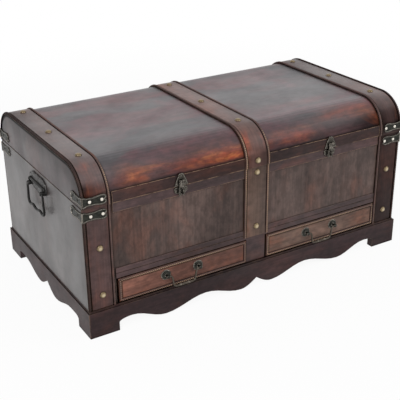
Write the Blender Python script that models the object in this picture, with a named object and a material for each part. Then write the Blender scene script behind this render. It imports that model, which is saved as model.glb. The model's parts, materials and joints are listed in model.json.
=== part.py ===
"""Storage chest: a strapped case on a scalloped plinth, two drawers below the main compartment and a rounded lid.

Run it with blender --background --python part.py, or from Blender's text editor. Units are metres, +Z is up, the
front looks along -Y, and the origin is on the floor at the middle of the chest.
"""

import math

import bmesh
import bpy
from mathutils import Vector

# Overall size
LENGTH = 0.900
DEPTH = 0.510
HEIGHT = 0.4095
LID_HEIGHT = 0.0920

# Clearances
GLUE_GAP = 0.0003
LID_GAP = 0.0008
DRAWER_GAP = 0.0014
PIVOT_GAP = 0.0004
CUT_OVERRUN = 0.004
EDGE_ROUND = 0.0008

# Plinth
PLINTH_HEIGHT = 0.068
PLINTH_BOARD = 0.018
PLINTH_REVEAL = 0.0035
PLINTH_ROUND = 0.004
FRONT_FOOT = 0.073
SIDE_FOOT = 0.065
FRONT_ARCH = 0.030
SIDE_ARCH = 0.0275
SCALLOP_STEPS = 6
# Turning points of half a scalloped edge: share of the half span, share of the arch height.
FRONT_SCALLOP_SHARES = ((0.0, 0.75), (0.12, 0.07), (0.393, 0.86), (0.676, 0.13), (0.915, 1.0))
SIDE_SCALLOP_SHARES = ((0.0, 1.0), (0.27, 0.09), (0.78, 0.95), (0.9, 0.96))
FOOT_SHOULDER_SHARE = 0.7

# Case boards
CASE_BOARD = 0.014
FLOOR_BOARD = 0.008
BOTTOM_BOARD = 0.009
DIVIDER_WEB = 0.012
GUIDE_BOARD = 0.012
CENTRE_STILE = 0.054

# Straps and rails, measured from the board or skin that they lie on
STRAP_WIDTH = 0.071
STRAP_FLAT = 0.0038
STRAP_CREST = 0.0060
BEAD_WIDTH = 0.0100
BEAD_TAPER = 0.0012
BEAD_ARC_STEPS = 4
RAIL_THICKNESS = 0.0022
TOP_RAIL_WIDTH = 0.024
DRAWER_RAIL_WIDTH = 0.0252
DRAWER_RAIL_GROOVE = 0.0016
DRAWER_RAIL_STEP = 0.0010
STRAP_LAP = 0.0200

# Lid
LID_OVERHANG = 0.0030
LID_STRAP_OVERHANG = 0.0004
LID_END_SETBACK = 0.0020
LID_CREST_RADIUS = 0.0805
LID_SKIN = 0.009
LID_END_BOARD = 0.014
LIP_WIDTH = 0.0260
CORNER_STEPS = 12
TOP_STEPS = 2

# Drawers
DRAWER_OPENING_HEIGHT = 0.0635
DRAWER_FRONT_THICKNESS = 0.016
DRAWER_FACE_PROUD = 0.0030
DRAWER_BEAD_WIDTH = 0.0075
DRAWER_BEAD_RISE = 0.0030
DRAWER_WALL = 0.009
DRAWER_BOTTOM = 0.005
DRAWER_BOX_HEIGHT = 0.052
DRAWER_BACK_ROOM = 0.0362

# Drawer pulls
PULL_LEFT = 0.2080
PULL_RIGHT = 0.1955
PULL_RAISE = 0.0040
PULL_SPACING = 0.086
PULL_REACH = 0.0125
PULL_DROP = 0.0300
PULL_WIRE = 0.0019
ROSETTE_RADIUS = 0.0135
ROSETTE_THICKNESS = 0.0026
POST_STEM = 0.0028
POST_BALL = 0.0046
PULL_PATH_SHARES = (
    (1.12, 0.0),
    (1.0, 0.0),
    (0.88, 0.0),
    (0.80, 0.05),
    (0.745, 0.22),
    (0.71, 0.46),
    (0.69, 0.72),
    (0.64, 0.90),
    (0.53, 0.985),
    (0.28, 1.0),
    (0.0, 0.98),
)

# End handles
HANDLE_SPACING = 0.080
HANDLE_BELOW_SEAM = 0.0393
HANDLE_REACH = 0.0115
HANDLE_DROP = 0.0550
HANDLE_WIRE = 0.0026
HANDLE_EAR = 0.0055
HANDLE_EAR_RADIUS = 0.0060
HANDLE_ROLL = 0.0042
HANDLE_ROLL_HALF = 0.046
HANDLE_ROLL_RISE = 0.0095
HANDLE_PLATE = 0.0024
HANDLE_PLATE_HALF = 0.051
HANDLE_PLATE_RISE = 0.033
HANDLE_PATH_SHARES = (
    (0.89, 0.0),
    (1.0, 0.0),
    (1.11, 0.0),
    (1.18, 0.05),
    (1.20, 0.20),
    (1.20, 0.44),
    (1.235, 0.66),
    (1.235, 0.82),
    (1.13, 0.95),
    (0.90, 0.985),
    (0.66, 0.93),
    (0.44, 0.925),
    (0.22, 0.985),
    (0.0, 1.0),
)
HANDLE_PLATE_SHARES = (
    (0.0, 1.0),
    (0.10, 0.95),
    (0.24, 0.92),
    (0.45, 0.96),
    (0.64, 0.92),
    (0.80, 0.78),
    (0.92, 0.70),
    (1.0, 0.42),
    (0.97, 0.16),
    (0.86, -0.06),
    (0.70, -0.24),
    (0.46, -0.32),
    (0.22, -0.36),
    (0.0, -0.42),
)

# Corner guards
GUARD_LEG = 0.058
GUARD_HALF_HEIGHT = 0.0118
GUARD_SHEET = 0.0013
GUARD_FROM_SEAM = 0.0060
GUARD_SHARES = (
    (0.0, 1.0),
    (0.12, 1.0),
    (0.22, 0.82),
    (0.50, 0.78),
    (0.66, 0.92),
    (0.84, 1.0),
    (0.95, 0.78),
    (1.0, 0.36),
    (0.93, 0.10),
)

# Hinges
HINGE_OFFSET = 0.200
HINGE_WIDTH = 0.050
HINGE_LEAF = 0.022
HINGE_SHEET = 0.0016
HINGE_BARREL = 0.0036
HINGE_PIN = 0.0016
HINGE_CENTRE_SHARE = 0.4
BARREL_SIDES = 20

# Hasps
HASP_LEFT = 0.2065
HASP_RIGHT = 0.2155
HASP_LEAF_HALF = 0.0176
HASP_LEAF_HEIGHT = 0.0295
HASP_LEAF_RAISE = 0.0015
HASP_LEAF_SHARES = (
    (1.0, 0.0),
    (0.98, 0.06),
    (0.86, 0.22),
    (0.74, 0.42),
    (0.60, 0.62),
    (0.43, 0.79),
    (0.40, 0.87),
    (0.32, 0.94),
    (0.18, 0.985),
    (0.0, 1.0),
)
HASP_WIDTH = 0.015
HASP_SHEET = 0.0013
HASP_BARREL = 0.0026
HASP_PIN = 0.0011
HASP_ABOVE_SEAM = 0.0135
TONGUE_LENGTH = 0.0330
TONGUE_HALF = 0.0080
TONGUE_SHEET = 0.0016
TONGUE_SETBACK = 0.0015
TONGUE_SLOT = 0.0028
TONGUE_SLOT_LENGTH = 0.0182
# The tongue from its barrel down: share of the half width, of the length and of the set-back.
TONGUE_SHARES = (
    (0.80, 0.0, 0.0),
    (0.80, 0.22, 0.0),
    (0.86, 0.34, 0.0),
    (0.90, 0.46, 0.6),
    (0.92, 0.53, 1.0),
    (0.95, 0.66, 1.0),
    (1.0, 0.80, 1.0),
    (0.92, 0.92, 1.0),
    (0.70, 1.0, 1.0),
)
STAPLE_PLATE_HALF = 0.0172
STAPLE_PLATE_HEIGHT = 0.0205
STAPLE_PLATE_TOP = 0.0016
STAPLE_PLATE_SHARES = (
    (0.70, 0.0),
    (0.90, 0.06),
    (1.0, 0.22),
    (0.90, 0.36),
    (0.98, 0.52),
    (0.80, 0.66),
    (0.46, 0.74),
    (0.22, 0.88),
    (0.0, 1.0),
)
STAPLE_WIRE = 0.0012
STAPLE_RISE = 0.0046
STAPLE_BELOW_SEAM = 0.0104
STAPLE_REACH = 0.0146
STAPLE_BEND_STEPS = 6
STAPLE_SIDES = 8

# Worked out from the sizes above
SEAM_HEIGHT = HEIGHT - LID_HEIGHT
HALF_LENGTH = LENGTH / 2
HALF_DEPTH = DEPTH / 2
CASE_HALF_LENGTH = HALF_LENGTH - PLINTH_REVEAL
CASE_HALF_DEPTH = HALF_DEPTH - PLINTH_REVEAL
BOARD_FACE = CASE_HALF_DEPTH - STRAP_CREST
BOARD_BACK = BOARD_FACE - CASE_BOARD
INNER_HALF_LENGTH = CASE_HALF_LENGTH - CASE_BOARD
STRAP_CENTRE = CASE_HALF_LENGTH - STRAP_WIDTH / 2
STRAP_INNER_EDGE = CASE_HALF_LENGTH - STRAP_WIDTH
CASE_BOTTOM = PLINTH_HEIGHT + GLUE_GAP
DRAWER_OPENING_TOP = PLINTH_HEIGHT + DRAWER_OPENING_HEIGHT
FLOOR_BOTTOM = DRAWER_OPENING_TOP + DRAWER_GAP + GLUE_GAP
DRAWER_RAIL_TOP = DRAWER_OPENING_TOP + DRAWER_RAIL_WIDTH
TOP_RAIL_BOTTOM = SEAM_HEIGHT - TOP_RAIL_WIDTH
LID_BOTTOM = SEAM_HEIGHT + LID_GAP
LID_FACE = CASE_HALF_DEPTH + LID_OVERHANG - STRAP_CREST
LID_TOP = HEIGHT - STRAP_CREST
LID_RADIUS = LID_CREST_RADIUS - STRAP_CREST
LID_STRAP_CENTRE = CASE_HALF_LENGTH + LID_STRAP_OVERHANG - STRAP_WIDTH / 2
LID_END_FACE = CASE_HALF_LENGTH + LID_STRAP_OVERHANG - LID_END_SETBACK
LIP_TOP = LID_BOTTOM + LIP_WIDTH
HINGE_AXIS = Vector((0.0, LID_FACE + GLUE_GAP + HINGE_BARREL, SEAM_HEIGHT))
HASP_LEAF_BACK = LID_FACE + RAIL_THICKNESS + GLUE_GAP
HASP_AXIS_OUT = HASP_LEAF_BACK + HASP_SHEET + PIVOT_GAP + HASP_BARREL
HASP_AXIS_HEIGHT = LID_BOTTOM + HASP_ABOVE_SEAM
DRAWER_CENTRE = (CENTRE_STILE / 2 + STRAP_INNER_EDGE) / 2
DRAWER_LENGTH = STRAP_INNER_EDGE - CENTRE_STILE / 2 - 2 * DRAWER_GAP
DRAWER_FACE = BOARD_FACE + DRAWER_FACE_PROUD
DRAWER_FRONT_BOTTOM = PLINTH_HEIGHT + DRAWER_GAP + GLUE_GAP
DRAWER_FRONT_TOP = DRAWER_OPENING_TOP - DRAWER_GAP
PULL_HEIGHT = (DRAWER_FRONT_BOTTOM + DRAWER_FRONT_TOP) / 2 + PULL_RAISE
HANDLE_HEIGHT = SEAM_HEIGHT - HANDLE_BELOW_SEAM

# Finishes: name, colour, roughness, metallic
FINISHES = {
    "plinth_wood": ((0.040, 0.028, 0.028), 0.42, 0.0),
    "side_wood": ((0.110, 0.080, 0.072), 0.35, 0.0),
    "front_wood": ((0.085, 0.050, 0.040), 0.42, 0.0),
    "strap_wood": ((0.075, 0.045, 0.038), 0.40, 0.0),
    "lid_wood": ((0.130, 0.065, 0.050), 0.32, 0.0),
    "drawer_wood": ((0.170, 0.080, 0.052), 0.45, 0.0),
    "inner_wood": ((0.300, 0.190, 0.110), 0.70, 0.0),
    "bronze": ((0.050, 0.048, 0.042), 0.45, 0.9),
    "aged_brass": ((0.180, 0.140, 0.075), 0.40, 0.9),
    "black_iron": ((0.020, 0.020, 0.020), 0.50, 0.8),
}


def clear_scene():
    for obj in list(bpy.data.objects):
        bpy.data.objects.remove(obj, do_unlink=True)


def make_materials():
    made = {}
    for name, (colour, roughness, metallic) in FINISHES.items():
        material = bpy.data.materials.new(name)
        material.use_nodes = True
        shader = material.node_tree.nodes["Principled BSDF"]
        shader.inputs["Base Color"].default_value = (*colour, 1.0)
        shader.inputs["Roughness"].default_value = roughness
        shader.inputs["Metallic"].default_value = metallic
        made[name] = material
    return made


def joint_empty(name, place):
    """An empty on a joint's axis, which carries the pieces that move with it."""
    empty = bpy.data.objects.new(name, None)
    empty.location = place
    bpy.context.scene.collection.objects.link(empty)
    return empty


def add(name, bm, material, holder=None, pivot=None, bevel=0.0, smooth=False):
    """Makes an object of a mesh drawn in the chest's own frame. Its origin is the pivot, or else its middle."""
    bmesh.ops.recalc_face_normals(bm, faces=bm.faces)
    if pivot is None:
        low = Vector([min(v.co[i] for v in bm.verts) for i in range(3)])
        high = Vector([max(v.co[i] for v in bm.verts) for i in range(3)])
        pivot = (low + high) / 2
    pivot = Vector(pivot)
    bmesh.ops.translate(bm, verts=bm.verts, vec=-pivot)
    mesh = bpy.data.meshes.new(name)
    bm.to_mesh(mesh)
    bm.free()
    if smooth:
        mesh.shade_smooth()
        mesh.set_sharp_from_angle(angle=math.radians(40))
    obj = bpy.data.objects.new(name, mesh)
    bpy.context.scene.collection.objects.link(obj)
    if material:
        mesh.materials.append(material)
    if holder:
        obj.parent = holder
        obj.location = pivot - holder.location
    else:
        obj.location = pivot
    if bevel:
        modifier = obj.modifiers.new("Bevel", "BEVEL")
        modifier.width = bevel
        modifier.segments = 1
        modifier.limit_method = "ANGLE"
        modifier.angle_limit = math.radians(40)
    return obj


def combine(obj, tools, operation):
    """Joins tools to the object, or cuts them out of it. The tools stay as hidden helpers."""
    for bm in tools:
        tool = add(f"{obj.name}_{operation.lower()}_{len(obj.modifiers)}", bm, None, holder=obj.parent)
        tool.hide_render = True
        tool.display_type = "WIRE"
        modifier = obj.modifiers.new(tool.name, "BOOLEAN")
        modifier.operation = operation
        modifier.solver = "EXACT"
        modifier.object = tool
    return obj


def block(low, high):
    bm = bmesh.new()
    corners = [(x, y, z) for x in (low[0], high[0]) for y in (low[1], high[1]) for z in (low[2], high[2])]
    verts = [bm.verts.new(corner) for corner in corners]
    for a, b, c, d in ((0, 1, 3, 2), (4, 6, 7, 5), (0, 4, 5, 1), (2, 3, 7, 6), (0, 2, 6, 4), (1, 5, 7, 3)):
        bm.faces.new([verts[i] for i in (a, b, c, d)])
    return bm


def loft(rings):
    """A closed solid through rings that hold the same number of points, capped at both ends."""
    bm = bmesh.new()
    rows = [[bm.verts.new(point) for point in ring] for ring in rings]
    for lower, upper in zip(rows, rows[1:]):
        count = len(lower)
        for i in range(count):
            j = (i + 1) % count
            bm.faces.new((lower[i], lower[j], upper[j], upper[i]))
    bm.faces.new(rows[0])
    bm.faces.new(rows[-1])
    return bm


def prism(outline, axis, low, high):
    """Extrudes an outline along an axis. The outline's two numbers are the other axes, in X, Y, Z order."""
    others = [i for i in range(3) if i != axis]
    rings = []
    for level in (low, high):
        ring = []
        for pair in outline:
            point = [0.0, 0.0, 0.0]
            point[axis] = level
            point[others[0]], point[others[1]] = pair
            ring.append(point)
        rings.append(ring)
    return loft(rings)


def rod(axis, centre, radius, low, high, sides=BARREL_SIDES):
    """A round bar along an axis. The centre's two numbers are the other axes."""
    turns = [2 * math.pi * i / sides for i in range(sides)]
    outline = [(centre[0] + radius * math.cos(t), centre[1] + radius * math.sin(t)) for t in turns]
    return prism(outline, axis, low, high)


def turned(profile, centre, sides=BARREL_SIDES):
    """A solid of revolution about an axis along -Y through the centre: profile is (radius, distance out)."""
    turns = [2 * math.pi * i / sides for i in range(sides)]
    rings = []
    for radius, out in profile:
        y = centre[1] - out
        rings.append([(centre[0] + radius * math.cos(t), y, centre[2] + radius * math.sin(t)) for t in turns])
    return loft(rings)


def wire(name, points, radius, material, holder, pivot):
    """A round wire: a smooth curve through the points, bevelled and capped. Its origin is on the pivot."""
    curve = bpy.data.curves.new(name, "CURVE")
    curve.dimensions = "3D"
    curve.bevel_depth = radius
    curve.bevel_resolution = 2
    curve.use_fill_caps = True
    route = smooth_route(points, 3)
    spline = curve.splines.new("POLY")
    spline.points.add(len(route) - 1)
    for target, point in zip(spline.points, route):
        target.co = (*(Vector(point) - pivot), 1.0)
    curve.materials.append(material)
    obj = bpy.data.objects.new(name, curve)
    bpy.context.scene.collection.objects.link(obj)
    if holder:
        obj.parent = holder
        obj.location = pivot - holder.location
    else:
        obj.location = pivot
    return obj


def smooth_route(points, steps):
    """Points along a Catmull-Rom curve through the given points. The first and last stretches stay straight."""
    points = [Vector(p) for p in points]
    route = [points[0]]
    for i in range(1, len(points) - 2):
        before, start, end, after = points[i - 1 : i + 3]
        for step in range(steps):
            t = step / steps
            route.append(
                0.5
                * (
                    2 * start
                    + (end - before) * t
                    + (2 * before - 5 * start + 4 * end - after) * t**2
                    + (3 * start - before - 3 * end + after) * t**3
                )
            )
    return [*route, points[-2], points[-1]]


def scalloped_edge(half_span, arch, shares):
    """Half of a skirt's lower edge, from the pointed notch in the middle to the inner side of the foot."""
    edge = []
    for index, ((a, low), (b, high)) in enumerate(zip(shares, shares[1:])):
        for step in range(SCALLOP_STEPS):
            t = step / SCALLOP_STEPS
            ease = math.sin(math.pi * t / 2) if index == 0 else (1 - math.cos(math.pi * t)) / 2
            edge.append((half_span * (a + (b - a) * t), arch * (low + (high - low) * ease)))
    start, crown = shares[-1]
    for step in range(SCALLOP_STEPS + 1):
        turn = math.pi / 2 * step / SCALLOP_STEPS
        along = start + (1 - start) * math.sin(turn)
        height = FOOT_SHOULDER_SHARE + (crown - FOOT_SHOULDER_SHARE) * math.cos(turn)
        edge.append((half_span * along, arch * height))
    return [*edge, (half_span, 0.0)]


def skirt_board(name, half_run, half_span, arch, shares, turn, out, material):
    """A skirt board with mitred ends and a rounded top edge. turn maps (along, out, height) to the frame."""
    edge = scalloped_edge(half_span, arch, shares)
    outline = [*edge, (half_run, 0.0), (half_run, PLINTH_HEIGHT)]
    outline += [(-a, h) for a, h in reversed(outline) if a > 0]
    face = [turn(a, out, h) for a, h in outline]
    mitre = half_run - PLINTH_BOARD
    inner = [turn(max(-mitre, min(mitre, a)), out - PLINTH_BOARD, h) for a, h in outline]
    bm = loft([face, inner])
    corners = [Vector(turn(side * half_run, out, PLINTH_HEIGHT)) for side in (-1, 1)]
    bm.edges.ensure_lookup_table()
    top = [e for e in bm.edges if all(min((v.co - c).length for c in corners) < GLUE_GAP for v in e.verts)]
    bmesh.ops.bevel(bm, geom=top, offset=PLINTH_ROUND, segments=3, affect="EDGES")
    return add(name, bm, material)


def make_plinth(finish):
    mitre_gap = GLUE_GAP / 2
    front_span = HALF_LENGTH - FRONT_FOOT
    side_span = HALF_DEPTH - SIDE_FOOT
    for name, side in (("plinth_front", -1), ("plinth_back", 1)):
        skirt_board(
            name,
            HALF_LENGTH - mitre_gap,
            front_span,
            FRONT_ARCH,
            FRONT_SCALLOP_SHARES,
            lambda along, out, height, side=side: (along, side * out, height),
            HALF_DEPTH,
            finish["plinth_wood"],
        )
    for name, side in (("plinth_left", -1), ("plinth_right", 1)):
        skirt_board(
            name,
            HALF_DEPTH - mitre_gap - GLUE_GAP,
            side_span,
            SIDE_ARCH,
            SIDE_SCALLOP_SHARES,
            lambda along, out, height, side=side: (side * out, along, height),
            HALF_LENGTH,
            finish["plinth_wood"],
        )


def make_case(finish):
    side_reach = BOARD_FACE - GLUE_GAP
    for name, side in (("side_board_left", -1), ("side_board_right", 1)):
        x = sorted((side * CASE_HALF_LENGTH, side * INNER_HALF_LENGTH))
        bm = block((x[0], -side_reach, CASE_BOTTOM), (x[1], side_reach, SEAM_HEIGHT))
        add(name, bm, finish["side_wood"], bevel=EDGE_ROUND)

    reach = INNER_HALF_LENGTH - GLUE_GAP
    stile = CENTRE_STILE / 2
    legs = [(-reach, CASE_BOTTOM), (-STRAP_INNER_EDGE, CASE_BOTTOM), (-STRAP_INNER_EDGE, DRAWER_OPENING_TOP)]
    legs += [(-stile, DRAWER_OPENING_TOP), (-stile, CASE_BOTTOM)]
    outline = legs + [(-x, z) for x, z in reversed(legs)] + [(reach, SEAM_HEIGHT), (-reach, SEAM_HEIGHT)]
    add("front_board", prism(outline, 1, -BOARD_FACE, -BOARD_BACK), finish["front_wood"])
    bm = block((-reach, BOARD_BACK, CASE_BOTTOM), (reach, BOARD_FACE, SEAM_HEIGHT))
    add("back_board", bm, finish["front_wood"], bevel=EDGE_ROUND)

    inside = BOARD_BACK - GLUE_GAP
    bm = block((-reach, -inside, FLOOR_BOTTOM), (reach, inside, FLOOR_BOTTOM + FLOOR_BOARD))
    add("compartment_floor", bm, finish["inner_wood"], bevel=EDGE_ROUND)
    within = PLINTH_BOARD + GLUE_GAP
    bm = block(
        (within - HALF_LENGTH, within - HALF_DEPTH, PLINTH_HEIGHT - BOTTOM_BOARD),
        (HALF_LENGTH - within, HALF_DEPTH - within, PLINTH_HEIGHT),
    )
    add("bottom_board", bm, finish["inner_wood"], bevel=EDGE_ROUND)

    top = FLOOR_BOTTOM - GLUE_GAP
    web = stile - DIVIDER_WEB
    cap = top - DIVIDER_WEB
    channel = [(-stile, CASE_BOTTOM), (-web, CASE_BOTTOM), (-web, cap), (web, cap), (web, CASE_BOTTOM)]
    channel += [(stile, CASE_BOTTOM), (stile, top), (-stile, top)]
    add("drawer_divider", prism(channel, 1, -inside, inside), finish["inner_wood"])
    for name, side in (("drawer_guide_left", -1), ("drawer_guide_right", 1)):
        x = sorted((side * STRAP_INNER_EDGE, side * (STRAP_INNER_EDGE + GUIDE_BOARD)))
        bm = block((x[0], -inside, CASE_BOTTOM), (x[1], inside, top))
        add(name, bm, finish["inner_wood"], bevel=EDGE_ROUND)


def bead_section(base, left, right):
    """A strap's section: (across, height over the board), with a round bead of share left and right on its edges."""
    half = STRAP_WIDTH / 2
    rise = STRAP_CREST - STRAP_FLAT
    section = [(-half, base), (half, base)]
    for side, share in ((1, right), (-1, left)):
        arc = []
        for step in range(BEAD_ARC_STEPS + 1):
            turn = math.pi * step / BEAD_ARC_STEPS
            across = half - BEAD_WIDTH / 2 + BEAD_WIDTH / 2 * math.cos(turn)
            arc.append((side * across, STRAP_FLAT + share * rise * math.sin(turn)))
        section += arc if side > 0 else reversed(arc)
    return section


def sweep_strap(centre, place, stops, levels):
    """Lays a strap along a path. place gives a point and its outward normal, levels the section at a stop."""
    rings = []
    for stop in stops:
        (y, z), (normal_y, normal_z) = place(stop)
        section = bead_section(*levels(stop))
        rings.append([(centre + a, y + normal_y * h, z + normal_z * h) for a, h in section])
    return loft(rings)


def with_steps(stops, edges):
    """Adds a close pair of stops around each edge, where a strap's section changes."""
    extra = [edge + side * BEAD_TAPER / 2 for edge in edges for side in (-1, 1)]
    kept = [stop for stop in stops if all(abs(stop - other) > GLUE_GAP for other in extra)]
    return sorted([*kept, *extra])


def guard_reach():
    """How far below and above the seam the corner guards reach, with the taper of the beads that end at them."""
    return GUARD_FROM_SEAM + 2 * GUARD_HALF_HEIGHT + BEAD_TAPER


def make_case_straps(finish):
    guard_low = SEAM_HEIGHT - guard_reach()
    lap = GLUE_GAP + BEAD_TAPER / 2
    lap_low = DRAWER_RAIL_TOP + lap
    lap_high = TOP_RAIL_BOTTOM - lap
    for row, side in (("front", -1), ("back", 1)):
        for name, centre in (("left", -STRAP_CENTRE), ("middle", 0.0), ("right", STRAP_CENTRE)):
            corner = (centre > 0) - (centre < 0)
            lapped = corner == 0 and side < 0

            def levels(z, corner=corner, lapped=lapped):
                over_rail = lapped and not lap_low < z < lap_high
                base = RAIL_THICKNESS + GLUE_GAP if over_rail else GLUE_GAP
                under_guard = z > guard_low
                left = 0.0 if under_guard and corner < 0 else 1.0
                right = 0.0 if under_guard and corner > 0 else 1.0
                return base, left, right

            def place(z, side=side):
                return (side * BOARD_FACE, z), (side, 0.0)

            low = DRAWER_RAIL_TOP - STRAP_LAP if lapped else CASE_BOTTOM
            edges = (lap_low, lap_high) if lapped else ()
            edges = (guard_low,) if corner else edges
            stops = with_steps([low, SEAM_HEIGHT], edges)
            add(f"strap_{row}_{name}", sweep_strap(centre, place, stops, levels), finish["strap_wood"])


def make_rails(finish):
    reach = STRAP_INNER_EDGE - GLUE_GAP
    face = BOARD_FACE + RAIL_THICKNESS
    bm = block((-reach, -face, TOP_RAIL_BOTTOM), (reach, -BOARD_FACE - GLUE_GAP, SEAM_HEIGHT))
    add("top_rail", bm, finish["strap_wood"], bevel=EDGE_ROUND)

    low, high = DRAWER_OPENING_TOP, DRAWER_RAIL_TOP
    middle = (low + high) / 2
    groove = DRAWER_RAIL_GROOVE / 2
    back = -BOARD_FACE - GLUE_GAP
    outline = [(back, low), (-face, low), (-face, middle - groove), (DRAWER_RAIL_STEP - face, middle - groove)]
    outline += [(DRAWER_RAIL_STEP - face, middle + groove), (-face, middle + groove)]
    outline += [(-face, high - DRAWER_RAIL_STEP), (DRAWER_RAIL_STEP - face, high), (back, high)]
    rail = add("drawer_rail", prism(outline, 0, -reach, reach), finish["strap_wood"])
    stile = CENTRE_STILE / 2
    combine(rail, [block((-stile, -face, CASE_BOTTOM), (stile, back, middle - 2 * groove))], "UNION")


def lid_lengths():
    """The stretches of the lid's section: upright, corner arc and flat top."""
    upright = LID_TOP - LID_RADIUS - LID_BOTTOM
    return upright, LID_RADIUS * math.pi / 2, 2 * (LID_FACE - LID_RADIUS)


def lid_place(distance):
    """The point and outward normal at a distance along the lid's skin, from the front seam over to the back."""
    upright, arc, flat = lid_lengths()
    total = 2 * (upright + arc) + flat
    if distance > total / 2:
        (y, z), (normal_y, normal_z) = lid_place(total - distance)
        return (-y, z), (-normal_y, normal_z)
    if distance <= upright:
        return (-LID_FACE, LID_BOTTOM + distance), (-1.0, 0.0)
    turn = min((distance - upright) / LID_RADIUS, math.pi / 2)
    past = max(distance - upright - arc, 0.0)
    normal = (-math.cos(turn), math.sin(turn))
    y = LID_RADIUS - LID_FACE + LID_RADIUS * normal[0] + past
    return (y, LID_TOP - LID_RADIUS + LID_RADIUS * normal[1]), normal


def lid_stops():
    """Evenly spread stops along the lid's skin."""
    upright, arc, flat = lid_lengths()
    front = [0.0] + [upright + arc * i / CORNER_STEPS for i in range(CORNER_STEPS + 1)]
    top = [upright + arc + flat * i / TOP_STEPS for i in range(1, TOP_STEPS)]
    total = 2 * (upright + arc) + flat
    return front + top + [total - d for d in reversed(front)]


def lid_distance(height):
    """How far along the skin a height on the front of the lid is."""
    upright = lid_lengths()[0]
    over = height - LID_BOTTOM - upright
    return height - LID_BOTTOM if over <= 0 else upright + LID_RADIUS * math.asin(over / LID_RADIUS)


def make_lid(finish, holder):
    stops = lid_stops()
    outer = [lid_place(d)[0] for d in stops]
    inner = []
    for stop in stops:
        (y, z), (normal_y, normal_z) = lid_place(stop)
        inner.append((y - normal_y * LID_SKIN, z - normal_z * LID_SKIN))
    reach = LID_END_FACE - LID_END_BOARD
    shell = prism(outer + inner[::-1], 0, GLUE_GAP - reach, reach - GLUE_GAP)
    add("lid_skin", shell, finish["lid_wood"], holder, smooth=True)
    for name, side in (("lid_end_left", -1), ("lid_end_right", 1)):
        x = sorted((side * reach, side * LID_END_FACE))
        add(name, prism(outer, 0, *x), finish["side_wood"], holder, smooth=True)

    total = sum(lid_lengths()[:2]) * 2 + lid_lengths()[2]
    lip_end = lid_distance(LIP_TOP)
    lap_end = lip_end + GLUE_GAP + BEAD_TAPER / 2
    guard_end = lid_distance(SEAM_HEIGHT + guard_reach())
    for name, centre in (("left", -LID_STRAP_CENTRE), ("middle", 0.0), ("right", LID_STRAP_CENTRE)):
        corner = (centre > 0) - (centre < 0)

        def levels(distance, corner=corner):
            base = RAIL_THICKNESS + GLUE_GAP if corner == 0 and distance < lap_end else GLUE_GAP
            under_guard = min(distance, total - distance) < guard_end
            left = 0.0 if under_guard and corner < 0 else 1.0
            right = 0.0 if under_guard and corner > 0 else 1.0
            return base, left, right

        edges = (guard_end, total - guard_end) if corner else (lap_end,)
        bm = sweep_strap(centre, lid_place, with_steps(stops, edges), levels)
        add(f"lid_strap_{name}", bm, finish["strap_wood"], holder, smooth=True)

    lip_stops = [d for d in stops if d < lip_end - GLUE_GAP] + [lip_end]
    reach = LID_STRAP_CENTRE - STRAP_WIDTH / 2 - GLUE_GAP
    outline = [lip_point(d, GLUE_GAP) for d in lip_stops]
    outline += [lip_point(d, RAIL_THICKNESS) for d in reversed(lip_stops)]
    add("lid_lip", prism(outline, 0, -reach, reach), finish["strap_wood"], holder)


def lip_point(distance, out):
    (y, z), (normal_y, normal_z) = lid_place(distance)
    return y + normal_y * out, z + normal_z * out


def corner_guard(name, corner_x, corner_y, middle, material, holder=None):
    """A scalloped sheet folded round an upright corner: one leg on the front or back, one on the end."""
    toward_x = -1 if corner_x > 0 else 1
    toward_y = -1 if corner_y > 0 else 1
    upper = [(GUARD_LEG * a, GUARD_HALF_HEIGHT * h) for a, h in GUARD_SHARES]
    outline = upper + [(a, -h) for a, h in reversed(upper)]
    bm = bmesh.new()

    def vertex(leg, along, height, out):
        thick = GUARD_SHEET * out
        if along == 0:
            place = (corner_x - toward_x * thick, corner_y - toward_y * thick)
        elif leg == "face":
            place = (corner_x + toward_x * along, corner_y - toward_y * thick)
        else:
            place = (corner_x - toward_x * thick, corner_y + toward_y * along)
        return bm.verts.new((*place, middle + height))

    rows = {}
    for leg in ("face", "end"):
        for out in (0, 1):
            row = []
            for index, (along, height) in enumerate(outline):
                shared = along == 0 and leg == "end"
                row.append(rows["face", out][index] if shared else vertex(leg, along, height, out))
            rows[leg, out] = row
            bm.faces.new(row)
    last = len(outline) - 1
    for leg in ("face", "end"):
        inner, outer = rows[leg, 0], rows[leg, 1]
        for i in range(last):
            bm.faces.new((inner[i], inner[i + 1], outer[i + 1], outer[i]))
    return add(name, bm, material, holder)


def make_guards(finish, lid):
    middle = GUARD_FROM_SEAM + GUARD_HALF_HEIGHT
    case_y = BOARD_FACE + STRAP_FLAT + GLUE_GAP
    lid_y = LID_FACE + STRAP_FLAT + GLUE_GAP
    lid_x = CASE_HALF_LENGTH + LID_STRAP_OVERHANG + GLUE_GAP
    for row, face in (("front", -1), ("back", 1)):
        for column, end in (("left", -1), ("right", 1)):
            place = f"{row}_{column}"
            case_x = end * (CASE_HALF_LENGTH + GLUE_GAP)
            low = SEAM_HEIGHT - middle
            high = SEAM_HEIGHT + middle
            corner_guard(f"case_guard_{place}", case_x, face * case_y, low, finish["bronze"])
            corner_guard(f"lid_guard_{place}", end * lid_x, face * lid_y, high, finish["bronze"], lid)


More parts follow.
